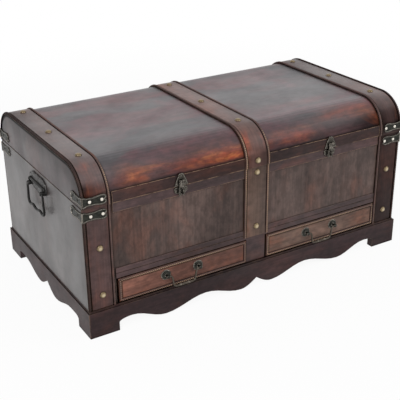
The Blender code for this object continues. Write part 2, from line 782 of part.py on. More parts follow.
def knuckles(centre, axis, width, radius, pin, sheet_y, sheet_z):
    """The barrel of a hinge as two sets of tools: two outer knuckles with their bores, and a centre knuckle.

    sheet_y holds the two faces of the leaf that each knuckle joins, and sheet_z how far up or down it is."""
    half = width / 2
    centre_half = half * HINGE_CENTRE_SHARE
    outer = []
    bores = []
    for side in (-1, 1):
        x = sorted((centre + side * (centre_half + PIVOT_GAP), centre + side * half))
        outer.append(rod(0, axis, radius, *x))
        low, high = sorted((axis[1], sheet_z[0]))
        outer.append(block((x[0], sheet_y[0][0], low), (x[1], sheet_y[0][1], high)))
        bores.append(rod(0, axis, pin + PIVOT_GAP, x[0] - CUT_OVERRUN, x[1] + CUT_OVERRUN))
    low, high = sorted((axis[1], sheet_z[1]))
    x = (centre - centre_half, centre + centre_half)
    inner = [rod(0, axis, radius, *x), block((x[0], sheet_y[1][0], low), (x[1], sheet_y[1][1], high))]
    inner.append(rod(0, axis, pin, centre - half, centre + half))
    return outer, bores, inner


def make_hinges(finish, lid):
    axis = (HINGE_AXIS.y, HINGE_AXIS.z)
    clear = HINGE_BARREL + PIVOT_GAP
    case_y = (BOARD_FACE + GLUE_GAP, BOARD_FACE + GLUE_GAP + HINGE_SHEET)
    lid_y = (LID_FACE + GLUE_GAP, LID_FACE + GLUE_GAP + HINGE_SHEET)
    for name, centre in (("left", -HINGE_OFFSET), ("right", HINGE_OFFSET)):
        x = (centre - HINGE_WIDTH / 2, centre + HINGE_WIDTH / 2)
        case_top = axis[1] - clear
        arm_z = case_top - HINGE_SHEET
        arms_y = ((case_y[0], axis[0]), lid_y)
        arms_z = (arm_z, axis[1] + clear + HINGE_SHEET)
        outer, bores, inner = knuckles(centre, axis, HINGE_WIDTH, HINGE_BARREL, HINGE_PIN, arms_y, arms_z)
        leaf = block((x[0], case_y[0], case_top - HINGE_LEAF), (x[1], case_y[1], case_top))
        leaf = add(f"hinge_case_leaf_{name}", leaf, finish["aged_brass"])
        combine(leaf, outer, "UNION")
        combine(leaf, bores, "DIFFERENCE")
        low = axis[1] + clear
        leaf = block((x[0], lid_y[0], low), (x[1], lid_y[1], low + HINGE_LEAF))
        leaf = add(f"hinge_lid_leaf_{name}", leaf, finish["aged_brass"], lid)
        combine(leaf, inner, "UNION")


def mirrored(shares, half, top, drop):
    """A closed outline from shares of its half width and its drop below the top, mirrored about the middle."""
    right = [(half * a, top - drop * h) for a, h in shares]
    return right + [(-a, z) for a, z in reversed(right) if a > 0]


def shifted(outline, centre):
    return [(centre + x, z) for x, z in outline]


def tongue_plate(centre, axis, top):
    """The tongue's sheet, from its barrel down, cranked back toward the case below the lid."""
    rings = []
    for half_share, drop_share, back_share in TONGUE_SHARES:
        half = TONGUE_HALF * half_share
        y = axis[0] + TONGUE_SETBACK * back_share
        low, high = y - TONGUE_SHEET / 2, y + TONGUE_SHEET / 2
        z = top - TONGUE_LENGTH * drop_share
        rings.append([(centre + a, b, z) for a, b in ((-half, low), (half, low), (half, high), (-half, high))])
    return loft(rings)


def tongue_slot(centre, axis, bottom):
    """A slot that is open at the bottom, so that the tongue lifts off its staple."""
    arch = bottom + TONGUE_SLOT_LENGTH - TONGUE_SLOT
    outline = [(centre - TONGUE_SLOT, bottom - CUT_OVERRUN), (centre + TONGUE_SLOT, bottom - CUT_OVERRUN)]
    for step in range(7):
        turn = math.pi * step / 6
        outline.append((centre + TONGUE_SLOT * math.cos(turn), arch + TONGUE_SLOT * math.sin(turn)))
    return prism(outline, 1, axis[0] - CUT_OVERRUN, axis[0] + TONGUE_SETBACK + CUT_OVERRUN)


def staple(centre):
    """A bent wire that stands out of the lower hasp plate, as rings along its route."""
    middle = SEAM_HEIGHT - STAPLE_BELOW_SEAM
    root = -BOARD_FACE - RAIL_THICKNESS - GLUE_GAP
    bend_y = root - STAPLE_REACH + STAPLE_RISE + STAPLE_WIRE
    route = [((root - HASP_SHEET / 2, middle + STAPLE_RISE), math.pi / 2)]
    for step in range(STAPLE_BEND_STEPS + 1):
        turn = math.pi / 2 + math.pi * step / STAPLE_BEND_STEPS
        route.append(((bend_y + STAPLE_RISE * math.cos(turn), middle + STAPLE_RISE * math.sin(turn)), turn))
    route.append(((root - HASP_SHEET / 2, middle - STAPLE_RISE), 3 * math.pi / 2))
    rings = []
    for (y, z), turn in route:
        ring = []
        for side in range(STAPLE_SIDES):
            angle = 2 * math.pi * side / STAPLE_SIDES
            out = STAPLE_WIRE * math.cos(angle)
            ring.append((centre + STAPLE_WIRE * math.sin(angle), y + out * math.cos(turn), z + out * math.sin(turn)))
        rings.append(ring)
    return loft(rings)


def make_hasps(finish, lid):
    axis = (-HASP_AXIS_OUT, HASP_AXIS_HEIGHT)
    clear = HASP_BARREL + PIVOT_GAP
    lid_y = (-HASP_LEAF_BACK - HASP_SHEET, -HASP_LEAF_BACK)
    tongue_y = (axis[0] - TONGUE_SHEET / 2, axis[0] + TONGUE_SHEET / 2)
    rail = -BOARD_FACE - RAIL_THICKNESS - GLUE_GAP
    leaf_bottom = LID_BOTTOM + HASP_LEAF_RAISE
    plate_top = SEAM_HEIGHT - STAPLE_PLATE_TOP
    for name, centre in (("left", -HASP_LEFT), ("right", HASP_RIGHT)):
        arm_y = (axis[0], lid_y[1])
        arm_z = (axis[1] + HASP_BARREL, axis[1] - clear - HASP_SHEET)
        outer, bores, inner = knuckles(centre, axis, HASP_WIDTH, HASP_BARREL, HASP_PIN, (arm_y, tongue_y), arm_z)
        outline = mirrored(HASP_LEAF_SHARES, HASP_LEAF_HALF, leaf_bottom, -HASP_LEAF_HEIGHT)
        leaf = prism(shifted(outline, centre), 1, *lid_y)
        leaf = add(f"hasp_leaf_{name}", leaf, finish["bronze"], lid)
        combine(leaf, outer, "UNION")
        combine(leaf, bores, "DIFFERENCE")
        top = axis[1] - clear
        pivot = (centre, *axis)
        tongue = add(f"hasp_tongue_{name}", tongue_plate(centre, axis, top), finish["bronze"], lid, pivot)
        combine(tongue, inner, "UNION")
        combine(tongue, [tongue_slot(centre, axis, top - TONGUE_LENGTH)], "DIFFERENCE")
        outline = mirrored(STAPLE_PLATE_SHARES, STAPLE_PLATE_HALF, plate_top, STAPLE_PLATE_HEIGHT)
        plate = prism(shifted(outline, centre), 1, rail - HASP_SHEET, rail)
        plate = add(f"hasp_plate_{name}", plate, finish["bronze"])
        combine(plate, [staple(centre)], "UNION")


def make_end_handles(finish):
    for name, side in (("left", -1), ("right", 1)):
        face = CASE_HALF_LENGTH + GLUE_GAP
        axis_out = CASE_HALF_LENGTH + HANDLE_REACH
        outline = mirrored(HANDLE_PLATE_SHARES, HANDLE_PLATE_HALF, HANDLE_HEIGHT, -HANDLE_PLATE_RISE)
        x = sorted((side * face, side * (face + HANDLE_PLATE)))
        plate = add(f"handle_plate_{name}", prism(outline, 0, *x), finish["black_iron"])
        ears = []
        for end in (-1, 1):
            middle = end * HANDLE_SPACING / 2
            y = (middle - HANDLE_EAR / 2, middle + HANDLE_EAR / 2)
            turns = [math.pi * i / 10 - math.pi / 2 for i in range(11)]
            tab = [(side * (face + HANDLE_PLATE / 2), HANDLE_HEIGHT - HANDLE_EAR_RADIUS)]
            for turn in turns:
                out = axis_out + HANDLE_EAR_RADIUS * math.cos(turn)
                tab.append((side * out, HANDLE_HEIGHT + HANDLE_EAR_RADIUS * math.sin(turn)))
            tab.append((side * (face + HANDLE_PLATE / 2), HANDLE_HEIGHT + HANDLE_EAR_RADIUS))
            ears.append(prism(tab, 1, *y))
        centre = (side * (face + HANDLE_ROLL), HANDLE_HEIGHT + HANDLE_ROLL_RISE)
        roll = rod(1, centre, HANDLE_ROLL, -HANDLE_ROLL_HALF, HANDLE_ROLL_HALF)
        combine(plate, [*ears, roll], "UNION")
        reach = HANDLE_SPACING / 2 + HANDLE_EAR
        bore = rod(1, (side * axis_out, HANDLE_HEIGHT), HANDLE_WIRE + PIVOT_GAP, -reach, reach)
        combine(plate, [bore], "DIFFERENCE")
        half = HANDLE_SPACING / 2
        path = [(half * a, HANDLE_HEIGHT - HANDLE_DROP * h) for a, h in HANDLE_PATH_SHARES]
        path += [(-y, z) for y, z in reversed(path) if y > 0]
        points = [(side * axis_out, y, z) for y, z in path]
        pivot = Vector((side * axis_out, 0.0, HANDLE_HEIGHT))
        wire(f"handle_bail_{name}", points, HANDLE_WIRE, finish["black_iron"], None, pivot)


def drawer_front(centre):
    """A front board with a round bead round its face, as nested rectangles from the back to the field."""
    half = DRAWER_LENGTH / 2
    half_height = (DRAWER_FRONT_TOP - DRAWER_FRONT_BOTTOM) / 2
    middle = (DRAWER_FRONT_TOP + DRAWER_FRONT_BOTTOM) / 2
    steps = [(0.0, DRAWER_FACE - DRAWER_FRONT_THICKNESS), (0.0, DRAWER_FACE)]
    for step in range(1, BEAD_ARC_STEPS):
        turn = math.pi * step / BEAD_ARC_STEPS
        inset = DRAWER_BEAD_WIDTH / 2 * (1 - math.cos(turn))
        steps.append((inset, DRAWER_FACE + DRAWER_BEAD_RISE * math.sin(turn)))
    steps.append((DRAWER_BEAD_WIDTH, DRAWER_FACE))
    rings = []
    for inset, out in steps:
        x, z = half - inset, half_height - inset
        corners = ((-x, -z), (x, -z), (x, z), (-x, z))
        rings.append([(centre + a, -out, middle + b) for a, b in corners])
    return loft(rings)


def drawer_tray(centre):
    """An open-topped box behind the front."""
    half = DRAWER_LENGTH / 2
    low = PLINTH_HEIGHT + GLUE_GAP + GLUE_GAP
    front = DRAWER_FRONT_THICKNESS - DRAWER_FACE + GLUE_GAP
    back = BOARD_BACK - DRAWER_BACK_ROOM
    rings = []
    for inset, z in (
        (0.0, low),
        (0.0, low + DRAWER_BOX_HEIGHT),
        (DRAWER_WALL, low + DRAWER_BOX_HEIGHT),
        (DRAWER_WALL, low + DRAWER_BOTTOM),
    ):
        x = half - inset
        y = (front + inset, back - inset)
        rings.append([(centre + a, b, z) for a, b in ((-x, y[0]), (x, y[0]), (x, y[1]), (-x, y[1]))])
    return loft(rings)


def make_drawers(finish):
    for name, side, pull in (("left", -1, -PULL_LEFT), ("right", 1, PULL_RIGHT)):
        centre = side * DRAWER_CENTRE
        holder = joint_empty(f"drawer_slide_{name}", Vector((centre, -DRAWER_FACE, PULL_HEIGHT)))
        add(f"drawer_front_{name}", drawer_front(centre), finish["drawer_wood"], holder)
        add(f"drawer_box_{name}", drawer_tray(centre), finish["inner_wood"], holder)
        face = -DRAWER_FACE - GLUE_GAP
        axis = (-DRAWER_FACE - PULL_REACH, PULL_HEIGHT)
        ball = [(POST_STEM, PULL_REACH - GLUE_GAP - math.sqrt(POST_BALL**2 - POST_STEM**2))]
        for step in range(3, 9):
            turn = math.pi * (step / 9 - 0.5) * 0.98
            ball.append((POST_BALL * math.cos(turn), PULL_REACH - GLUE_GAP + POST_BALL * math.sin(turn)))
        base = [(ROSETTE_RADIUS, 0.0), (ROSETTE_RADIUS * 0.96, ROSETTE_THICKNESS / 2)]
        base += [(ROSETTE_RADIUS * 0.6, ROSETTE_THICKNESS), (POST_STEM, ROSETTE_THICKNESS)]
        for post, end in (("a", -1), ("b", 1)):
            at = (pull + end * PULL_SPACING / 2, face, PULL_HEIGHT)
            rosette = turned(base + ball, at)
            rosette = add(f"pull_post_{name}_{post}", rosette, finish["bronze"], holder, smooth=True)
            bore = rod(0, axis, PULL_WIRE + PIVOT_GAP, at[0] - 2 * POST_BALL, at[0] + 2 * POST_BALL, 16)
            combine(rosette, [bore], "DIFFERENCE")
        half = PULL_SPACING / 2
        path = [(half * a, PULL_HEIGHT - PULL_DROP * h) for a, h in PULL_PATH_SHARES]
        path += [(-x, z) for x, z in reversed(path) if x > 0]
        points = [(pull + x, axis[0], z) for x, z in path]
        pivot = Vector((pull, *axis))
        wire(f"pull_bail_{name}", points, PULL_WIRE, finish["aged_brass"], holder, pivot)


def main():
    clear_scene()
    finish = make_materials()
    lid = joint_empty("lid_hinge_axis", HINGE_AXIS)
    make_plinth(finish)
    make_case(finish)
    make_case_straps(finish)
    make_rails(finish)
    make_lid(finish, lid)
    make_guards(finish, lid)
    make_hinges(finish, lid)
    make_hasps(finish, lid)
    make_end_handles(finish)
    make_drawers(finish)


main()
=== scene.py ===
"""Dresses the storage chest: wood, rope mouldings, nails, bronze fittings, light and camera.

It is laid out as an add-on. Units are metres, +Z is up, the front with the drawers faces -Y, and the origin
lies on the floor under the middle of the chest.
"""

import json
import math

import bmesh
import bpy
from mathutils import Matrix, Vector

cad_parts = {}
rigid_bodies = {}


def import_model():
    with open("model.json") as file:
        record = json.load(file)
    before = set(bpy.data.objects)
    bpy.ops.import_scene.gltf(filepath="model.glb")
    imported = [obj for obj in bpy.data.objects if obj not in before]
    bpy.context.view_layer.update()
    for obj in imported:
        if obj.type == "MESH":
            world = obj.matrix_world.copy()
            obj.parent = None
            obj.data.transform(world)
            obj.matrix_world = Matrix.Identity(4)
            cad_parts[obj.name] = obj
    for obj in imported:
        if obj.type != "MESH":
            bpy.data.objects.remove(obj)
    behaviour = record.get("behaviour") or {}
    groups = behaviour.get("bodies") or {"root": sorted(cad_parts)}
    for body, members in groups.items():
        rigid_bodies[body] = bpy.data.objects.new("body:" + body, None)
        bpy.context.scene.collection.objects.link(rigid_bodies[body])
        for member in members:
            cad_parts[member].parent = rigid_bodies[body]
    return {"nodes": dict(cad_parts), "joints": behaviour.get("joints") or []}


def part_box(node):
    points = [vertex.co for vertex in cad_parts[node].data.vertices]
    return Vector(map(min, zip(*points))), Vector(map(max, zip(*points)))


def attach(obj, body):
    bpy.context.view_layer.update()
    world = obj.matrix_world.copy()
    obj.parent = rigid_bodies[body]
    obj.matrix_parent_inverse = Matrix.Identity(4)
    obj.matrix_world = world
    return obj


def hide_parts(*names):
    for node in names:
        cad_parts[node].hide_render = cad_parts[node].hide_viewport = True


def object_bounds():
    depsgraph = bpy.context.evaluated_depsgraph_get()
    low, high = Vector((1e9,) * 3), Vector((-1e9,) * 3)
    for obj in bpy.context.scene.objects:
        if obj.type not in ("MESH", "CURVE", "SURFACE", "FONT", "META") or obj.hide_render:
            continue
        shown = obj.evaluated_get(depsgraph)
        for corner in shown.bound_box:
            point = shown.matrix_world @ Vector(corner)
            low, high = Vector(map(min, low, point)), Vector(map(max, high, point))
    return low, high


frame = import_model()
cad_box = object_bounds()

bl_info = {
    "name": "Storage chest dresser",
    "version": (1, 0, 0),
    "blender": (4, 5, 0),
    "location": "3D View > Sidebar > Chest",
    "description": "Adds mouldings, nails, fittings, finishes and a studio to a storage chest",
    "category": "Object",
}

COLUMNS = (("left", -1), ("middle", 0), ("right", 1))
SIDES = (("left", -1), ("right", 1))
ROWS = (("front", -1), ("back", 1))
RIGHT = (1, 0, 0)
FRONT = (0, -1, 0)
UP = (0, 0, 1)

# Distances between two sections of a strap over the lid and between two rings of a rope
STRAP_STEP = 0.004
ROPE_STEP = 0.00105
# Half the length in which a strap's section changes, and how far past the lip rail it still stands off
CHANGE = 0.001
LIP_RUN = 0.002
# Angles in degrees from which an edge stays sharp: on most pieces, ropes, fittings and folded sheet
SHARP, ROPE_SHARP, FITTING_SHARP, SHEET_SHARP = 40.0, 80.0, 50.0, 55.0

# Outlines as shares of a half width and a height, from the fittings' own proportions
LEAF_SHARES = (
    (1.0, 0.0), (0.98, 0.06), (0.86, 0.22), (0.74, 0.42), (0.60, 0.62), (0.43, 0.79), (0.40, 0.87),
    (0.32, 0.94), (0.18, 0.985), (0.0, 1.0),
)
STAPLE_PLATE_SHARES = (
    (0.70, 0.0), (0.90, 0.06), (1.0, 0.22), (0.90, 0.36), (0.98, 0.52), (0.80, 0.66), (0.46, 0.74),
    (0.22, 0.88), (0.0, 1.0),
)
GUARD_SHARES = (
    (0.0, 1.0), (0.12, 1.0), (0.22, 0.82), (0.50, 0.78), (0.66, 0.92), (0.84, 1.0), (0.95, 0.78),
    (1.0, 0.36), (0.93, 0.0),
)
HANDLE_PLATE_SHARES = (
    (0.0, 1.0), (0.10, 0.95), (0.24, 0.92), (0.45, 0.96), (0.64, 0.92), (0.80, 0.78), (0.92, 0.70),
    (1.0, 0.42), (0.97, 0.16), (0.86, -0.06), (0.70, -0.24), (0.46, -0.32), (0.22, -0.36), (0.0, -0.42),
)
# Bails as shares of half the spacing and of the drop, from the end of a pin down to the middle
HANDLE_PATH_SHARES = (
    (0.89, 0.0), (1.0, 0.0), (1.11, 0.0), (1.18, 0.05), (1.20, 0.20), (1.20, 0.44), (1.235, 0.66),
    (1.235, 0.82), (1.13, 0.95), (0.90, 0.985), (0.66, 0.93), (0.44, 0.925), (0.22, 0.985), (0.0, 1.0),
)
PULL_PATH_SHARES = (
    (1.12, 0.0), (1.0, 0.0), (0.88, 0.0), (0.80, 0.05), (0.745, 0.22), (0.71, 0.46), (0.69, 0.72),
    (0.64, 0.90), (0.53, 0.985), (0.28, 1.0), (0.0, 0.98),
)
# A hasp's tongue as shares of its half width, its length and its step back
TONGUE_SHARES = (
    (0.80, 0.0, 0.0), (0.80, 0.22, 0.0), (0.86, 0.34, 0.0), (0.90, 0.46, 0.6), (0.92, 0.53, 1.0),
    (0.95, 0.66, 1.0), (1.0, 0.80, 1.0), (0.92, 0.92, 1.0), (0.70, 1.0, 1.0),
)

# Turned profiles as (radius, height): a pull's rosette, its stem, its knob from the bail's axis, and a screw
ROSETTE = (
    (0.0, 0.0), (0.0132, 0.0), (0.0134, 0.0008), (0.0118, 0.0019), (0.0100, 0.0014), (0.0082, 0.0016),
    (0.0066, 0.0027), (0.0048, 0.0030), (0.0, 0.0032),
)
STEM = ((0.0, 0.002), (0.0038, 0.002), (0.0030, 0.0045), (0.0026, 0.0065))
KNOB = (
    (0.0034, -0.0040), (0.0045, -0.0020), (0.0047, 0.0), (0.0042, 0.0020), (0.0024, 0.0040), (0.0, 0.0046),
)
SCREW = ((0.0, -0.0003), (0.0033, -0.0003), (0.0033, 0.0003), (0.0024, 0.0009), (0.0, 0.0011))
# Radius of a guard's fold as a share of its sheet
FOLD_SHARE = 0.75
# A bead's profile as shares of its radius
BEAD_SHARES = ((0, -1), (0.7, -0.75), (1, 0), (0.7, 0.75), (0, 1))
# Radii of an end handle's ear, from its foot to its tip
EAR_RADII = (0.0072, 0.0054, 0.0060, 0.0036)
# The end handle's roll: (share of its half length, radius)
ROLL = (
    (-1.06, 0.0016), (-1.0, 0.0046), (-0.93, 0.0058), (-0.90, 0.0036), (-0.45, 0.0040), (0.0, 0.0046),
    (0.45, 0.0040), (0.90, 0.0036), (0.93, 0.0058), (1.0, 0.0046), (1.06, 0.0016),
)

# Where the stain of the lid's front curve is rubbed thin: middle, size and weight of each soft spot
GLOWS = (
    ((-0.110, -0.254, 0.356), (0.170, 0.060, 0.040), 1.00),
    ((-0.280, -0.254, 0.360), (0.110, 0.060, 0.036), 0.85),
    ((0.100, -0.250, 0.362), (0.140, 0.060, 0.036), 0.60),
    ((0.280, -0.225, 0.392), (0.130, 0.060, 0.022), 0.60),
)
# The same on the lid's straps
STRAP_GLOWS = (
    ((0.000, -0.235, 0.382), (0.060, 0.060, 0.030), 0.95),
    ((-0.412, -0.220, 0.398), (0.032, 0.050, 0.018), 1.00),
)
# Where shade is painted on the lid's front curve, darkening its stain and thinning its lacquer: middle and
# size of each place
SHADED_PLACES = (
    ((0.430, -0.250, 0.360), (0.260, 0.100, 0.060)),
    ((-0.440, -0.250, 0.352), (0.070, 0.100, 0.032)),
)
# Pairs of heights on the lid between which the finish changes
CURVE_TOP = (0.402, 0.376)
CURVE_FOOT = (0.310, 0.322)
TINTED_TOP = (0.378, 0.402)
# Between AT_SEAM and OVER_LIP the lid wood gets painted shade, just over the lip rail
OVER_LIP = (0.3440, 0.3560)
AT_SEAM = (0.3185, 0.3170)
LACQUERED_TOP = (0.352, 0.390)
# Between these heights the painted highlight on the rope crests fades towards the lid's top
DULL_ROPE_TOP = (0.402, 0.385)

# Faces of a drawer front that get painted shade from its opening: its top and its ends
DRAWER_SHADE = {"dark_faces": (UP, (-1, 0, 0), RIGHT)}
STRAP = {"moulded": True}
# Ropes: moulded, with painted shade that reaches only a short way out of a corner
ROPE = {"moulded": True, "grime": 0.0035}
# Colour, grain's axis, rubbed patches, worn edges, lacquer, roughness, specular level and what else it has
WOODS = {
    "side wood": ("end", "z", 0.05, 0.4, 0.54, 0.42, 0.46, {"grime": 0.012}),
    # The lid ends get painted shade towards their curved outline
    "lid end wood": ("lid_end", "z", 0.10, 0.4, 0.30, 0.44, 0.5, {"rim": True}),
    "front wood": ("front", "z", 0.16, 0.5, 0.0, 0.52, 0.25, {"grime": 0.011}),
    "lid wood": ("stain", "x", 0.08, 0.5, 0.46, 0.38, 0.45, {"glow": 1.0}),
    # Its worn edges also paint highlight lines along the rail's edges
    "rail wood": ("stain", "x", 0.15, 0.9, 0.0, 0.46, 0.3, {"grime": 0.009, "soft": 0.0030}),
    "drawer rail wood": ("stain", "x", 0.10, 0.2, 0.0, 0.46, 0.3, {"grime": 0.009}),
    # Its worn edges also paint the highlight line along the lip's rounded top edge
    "lip wood": ("lip", "x", 0.10, 1.0, 0.0, 0.46, 0.2, {"soft": 0.0026}),
    "strap wood": ("strap", "x", 0.20, 0.6, 0.42, 0.40, 0.42, STRAP | {"glow": 0.65}),
    "bright strap wood": ("lid_strap", "x", 0.30, 0.6, 0.34, 0.40, 0.36, STRAP | {"glow": 1.0}),
    "middle strap wood": ("middle_strap", "x", 0.35, 0.6, 0.0, 0.46, 0.22, STRAP),
    "dark strap wood": ("dark_strap", "x", 0.10, 0.6, 0.0, 0.46, 0.12, STRAP),
    "rope wood": ("strap", "x", 0.2, 0.9, 0.0, 0.50, 0.3, ROPE),
    "dark rope wood": ("strap", "x", 0.2, 0.25, 0.0, 0.50, 0.3, ROPE),
    # A dark rope whose darkness also paints the shadow line along a strap's outer edge
    "shaded edge rope wood": ("dark_strap", "x", 0.1, 0.15, 0.0, 0.45, 0.14, ROPE),
    # The plinth's top faces get painted shade
    "plinth wood": ("plinth", "x", 0.05, 0.3, 0.0, 0.52, 0.2, {"dark_faces": (UP,)}),
    "plinth end wood": ("plinth", "y", 0.05, 0.3, 0.0, 0.48, 0.25, {"dark_faces": (UP,)}),
    "left drawer wood": ("left_drawer", "x", 0.45, 0.7, 0.0, 0.55, 0.25, DRAWER_SHADE),
    "right drawer wood": ("right_drawer", "x", 0.35, 0.7, 0.0, 0.55, 0.25, DRAWER_SHADE),
    "bare wood": ("bare", "x", 0.0, 0.0, 0.0, 0.62, 0.3, {}),
}
# Domes get a painted highlight on the crown and painted shade round the foot
DOME = {"gain": 1.0, "crowned": True}
# Colour, its bright edges, roughness, the edges' radius and what else it has
METALS = {
    "bronze": ("bronze", "bronze_edge", 0.40, 0.0015, {"gain": 8.0}),
    "hasp bronze": ("hasp", "bronze_edge", 0.36, 0.0012, {"gain": 9.0}),
    "pull bronze": ("pull", "bronze_edge", 0.34, 0.0012, {"gain": 7.0}),
    "nail brass": ("brass", "brass_edge", 0.28, 0.0010, DOME | {"shine": 0.7, "mottled": 0.35}),
    "hinge brass": ("brass", "brass_edge", 0.40, 0.0010, {}),
    "pale tack": ("pale", "pale", 0.28, 0.0010, DOME | {"mottled": 0.2}),
    "dark tack": ("bronze", "bronze_edge", 0.38, 0.0010, {}),
    "worn iron": ("worn_iron", "iron_edge", 0.40, 0.0010, {}),
    "black iron": ("iron", "iron_edge", 0.40, 0.0010, {"gain": 2.5, "shine": 0.7}),
}
CASE_STRAP_FINISHES = {-1: "strap wood", 0: "middle strap wood", 1: "dark strap wood"}
FINISHES = {}


def length(name, description, default):
    limits = {"min": 0.0, "precision": 4, "subtype": "DISTANCE", "unit": "LENGTH"}
    return bpy.props.FloatProperty(name=name, description=description, default=default, **limits)


def lengths(name, description, default, subtype="NONE"):
    kind = {"size": len(default), "subtype": subtype, "unit": "LENGTH"}
    return bpy.props.FloatVectorProperty(name=name, description=description, default=default, **kind)


def share(name, description, default):
    limits = {"min": 0.0, "max": 1.0, "subtype": "FACTOR"}
    return bpy.props.FloatProperty(name=name, description=description, default=default, **limits)


def colour(name, description, default):
    limits = {"min": 0.0, "max": 1.0, "subtype": "COLOR"}
    return bpy.props.FloatVectorProperty(name=name, description=description, default=default, **limits)


def angle(name, description, degrees):
    default = math.radians(degrees)
    return bpy.props.FloatProperty(name=name, description=description, default=default, subtype="ANGLE")


def number(name, description, default):
    return bpy.props.FloatProperty(name=name, description=description, default=default, min=0.0)


class ChestSizes(bpy.types.PropertyGroup):
    """Sizes of the trim that the operators add."""

    lid_radius: length("Lid corner", "Radius of the lid's long edges, on its skin", 0.0745)
    board_gap: length("Board gap", "Gap between a strap and the board under it", 0.0003)
    strap_flat: length("Strap", "Thickness of a strap between its mouldings", 0.0038)
    strap_bed: length("Strap bed", "Thickness of a strap under its mouldings", 0.0020)
    bed_width: length("Bed width", "How far a moulding's bed reaches in from the strap's edge", 0.0086)
    rope_radius: length("Rope", "Radius of the rope moulding", 0.0030)
    rope_inset: length("Rope inset", "From the strap's edge to the middle of the rope", 0.0042)
    outer_inset: length("Outer rope inset", "The same for the ropes along the chest's ends", 0.0034)
    rope_lap: length("Rope lap", "How far the end of such a rope reaches under a guard", 0.0040)
    rope_lay: length("Rope lay", "Length of one full turn of the rope's strands", 0.0150)
    rope_relief: share("Rope relief", "Depth of the furrows between strands, as a share of the radius", 0.42)
    frame_rope: length("Drawer rope", "Radius of the rope moulding round a drawer front", 0.0035)
    left_slim: length("Left strap", "How much narrower the left straps are than their CAD bodies", 0.0032)
    drawer_gap: length("Drawer gap", "Dark gap at the left end of a drawer front", 0.0034)
    drawer_top_gap: length("Drawer top gap", "Dark gap over a drawer front", 0.0012)
    nail_radius: length("Nail", "Radius of a strap nail's dome", 0.0077)
    nail_rise: length("Nail height", "Height of a strap nail's dome", 0.0048)
    tack_radius: length("Tack", "Radius of the pale nails in the guards", 0.0040)
    tack_rise: length("Tack height", "Height of the pale nails in the guards", 0.0025)
    metal_edge: length("Metal edge", "Width of the raised rim round the guards", 0.0014)
    metal_rise: length("Metal relief", "Height of that rim over the field", 0.0006)


class ChestColours(bpy.types.PropertyGroup):
    """Colours of the finishes."""

    stain: colour("Stain", "Dark stain over most of the wood", (0.058, 0.033, 0.033))
    shade: colour("Shade", "Darkest stain, in the grain and the corners", (0.016, 0.010, 0.010))
    end: colour("Ends", "Darker stain of the end boards", (0.034, 0.026, 0.025))
    lid_end: colour("Lid ends", "Stain of the lid's end boards", (0.034, 0.018, 0.020))
    front: colour("Front", "Stain of the front and back boards", (0.086, 0.057, 0.049))
    lip: colour("Lid lip", "Darker stain of the rail along the lid's front edge", (0.030, 0.015, 0.014))
    strap: colour("Straps", "Stain of the straps", (0.066, 0.038, 0.036))
    lid_strap: colour("Lid's middle strap", "Redder stain of the lid's middle strap", (0.112, 0.057, 0.048))
    middle_strap: colour("Middle straps", "Lighter stain of the middle straps", (0.100, 0.062, 0.047))
    dark_strap: colour("Dark straps", "Darker stain of the straps at the right end", (0.024, 0.013, 0.012))
    plinth: colour("Plinth", "Stain of the plinth", (0.028, 0.014, 0.015))
    slate: colour("Slate tint", "Bluer stain in the mottled top of the lid", (0.030, 0.034, 0.044))
    violet: colour("Violet tint", "Redder stain in the mottled top of the lid", (0.095, 0.022, 0.036))
    ember: colour("Ember", "Red wood where the lid's front curve is rubbed", (0.290, 0.052, 0.021))
    # Painted highlight flecks in the rubbed places of the lid's front curve
    amber: colour("Amber flecks", "Yellower wood in the middle of a rubbed place", (0.520, 0.190, 0.060))
    # Worn golden rope crests, partly a painted highlight
    gilt: colour("Rope crests", "Golden wood on the crests of the ropes", (0.600, 0.400, 0.240))
    rubbed: colour("Rubbed wood", "Red-brown wood where the stain is rubbed thin", (0.300, 0.075, 0.026))
    worn: colour("Worn edge", "Pale wood on worn edges", (0.420, 0.270, 0.175))
    left_drawer: colour("Left drawer", "Redder stain of the left drawer's front", (0.192, 0.082, 0.058))
    right_drawer: colour("Right drawer", "Duller stain of the right drawer's front", (0.134, 0.080, 0.060))
    bare: colour("Bare wood", "Unstained wood inside", (0.420, 0.270, 0.150))
    bronze: colour("Bronze", "Dark aged bronze of the guards and posts", (0.042, 0.043, 0.037))
    bronze_edge: colour("Bronze edge", "Bronze rubbed bright on its edges", (0.500, 0.450, 0.390))
    hasp: colour("Hasps", "Bronze of the hasps", (0.075, 0.068, 0.058))
    pull: colour("Pulls", "Lighter bronze of the drawers' bails", (0.100, 0.083, 0.066))
    brass: colour("Brass", "Antique brass of the nails", (0.250, 0.183, 0.102))
    # Also the painted highlight on a dome's crown
    brass_edge: colour("Brass highlight", "Brass rubbed bright on the crown", (0.510, 0.420, 0.275))
    pale: colour("Pale tacks", "Nickel-coloured tacks in the guards", (0.780, 0.730, 0.650))
    iron: colour("Iron", "Blackened iron of the end handles", (0.024, 0.023, 0.022))
    worn_iron: colour("Worn iron", "Greyer iron of the end handles' plates", (0.100, 0.096, 0.094))
    iron_edge: colour("Iron edge", "Iron rubbed bright", (0.200, 0.190, 0.180))


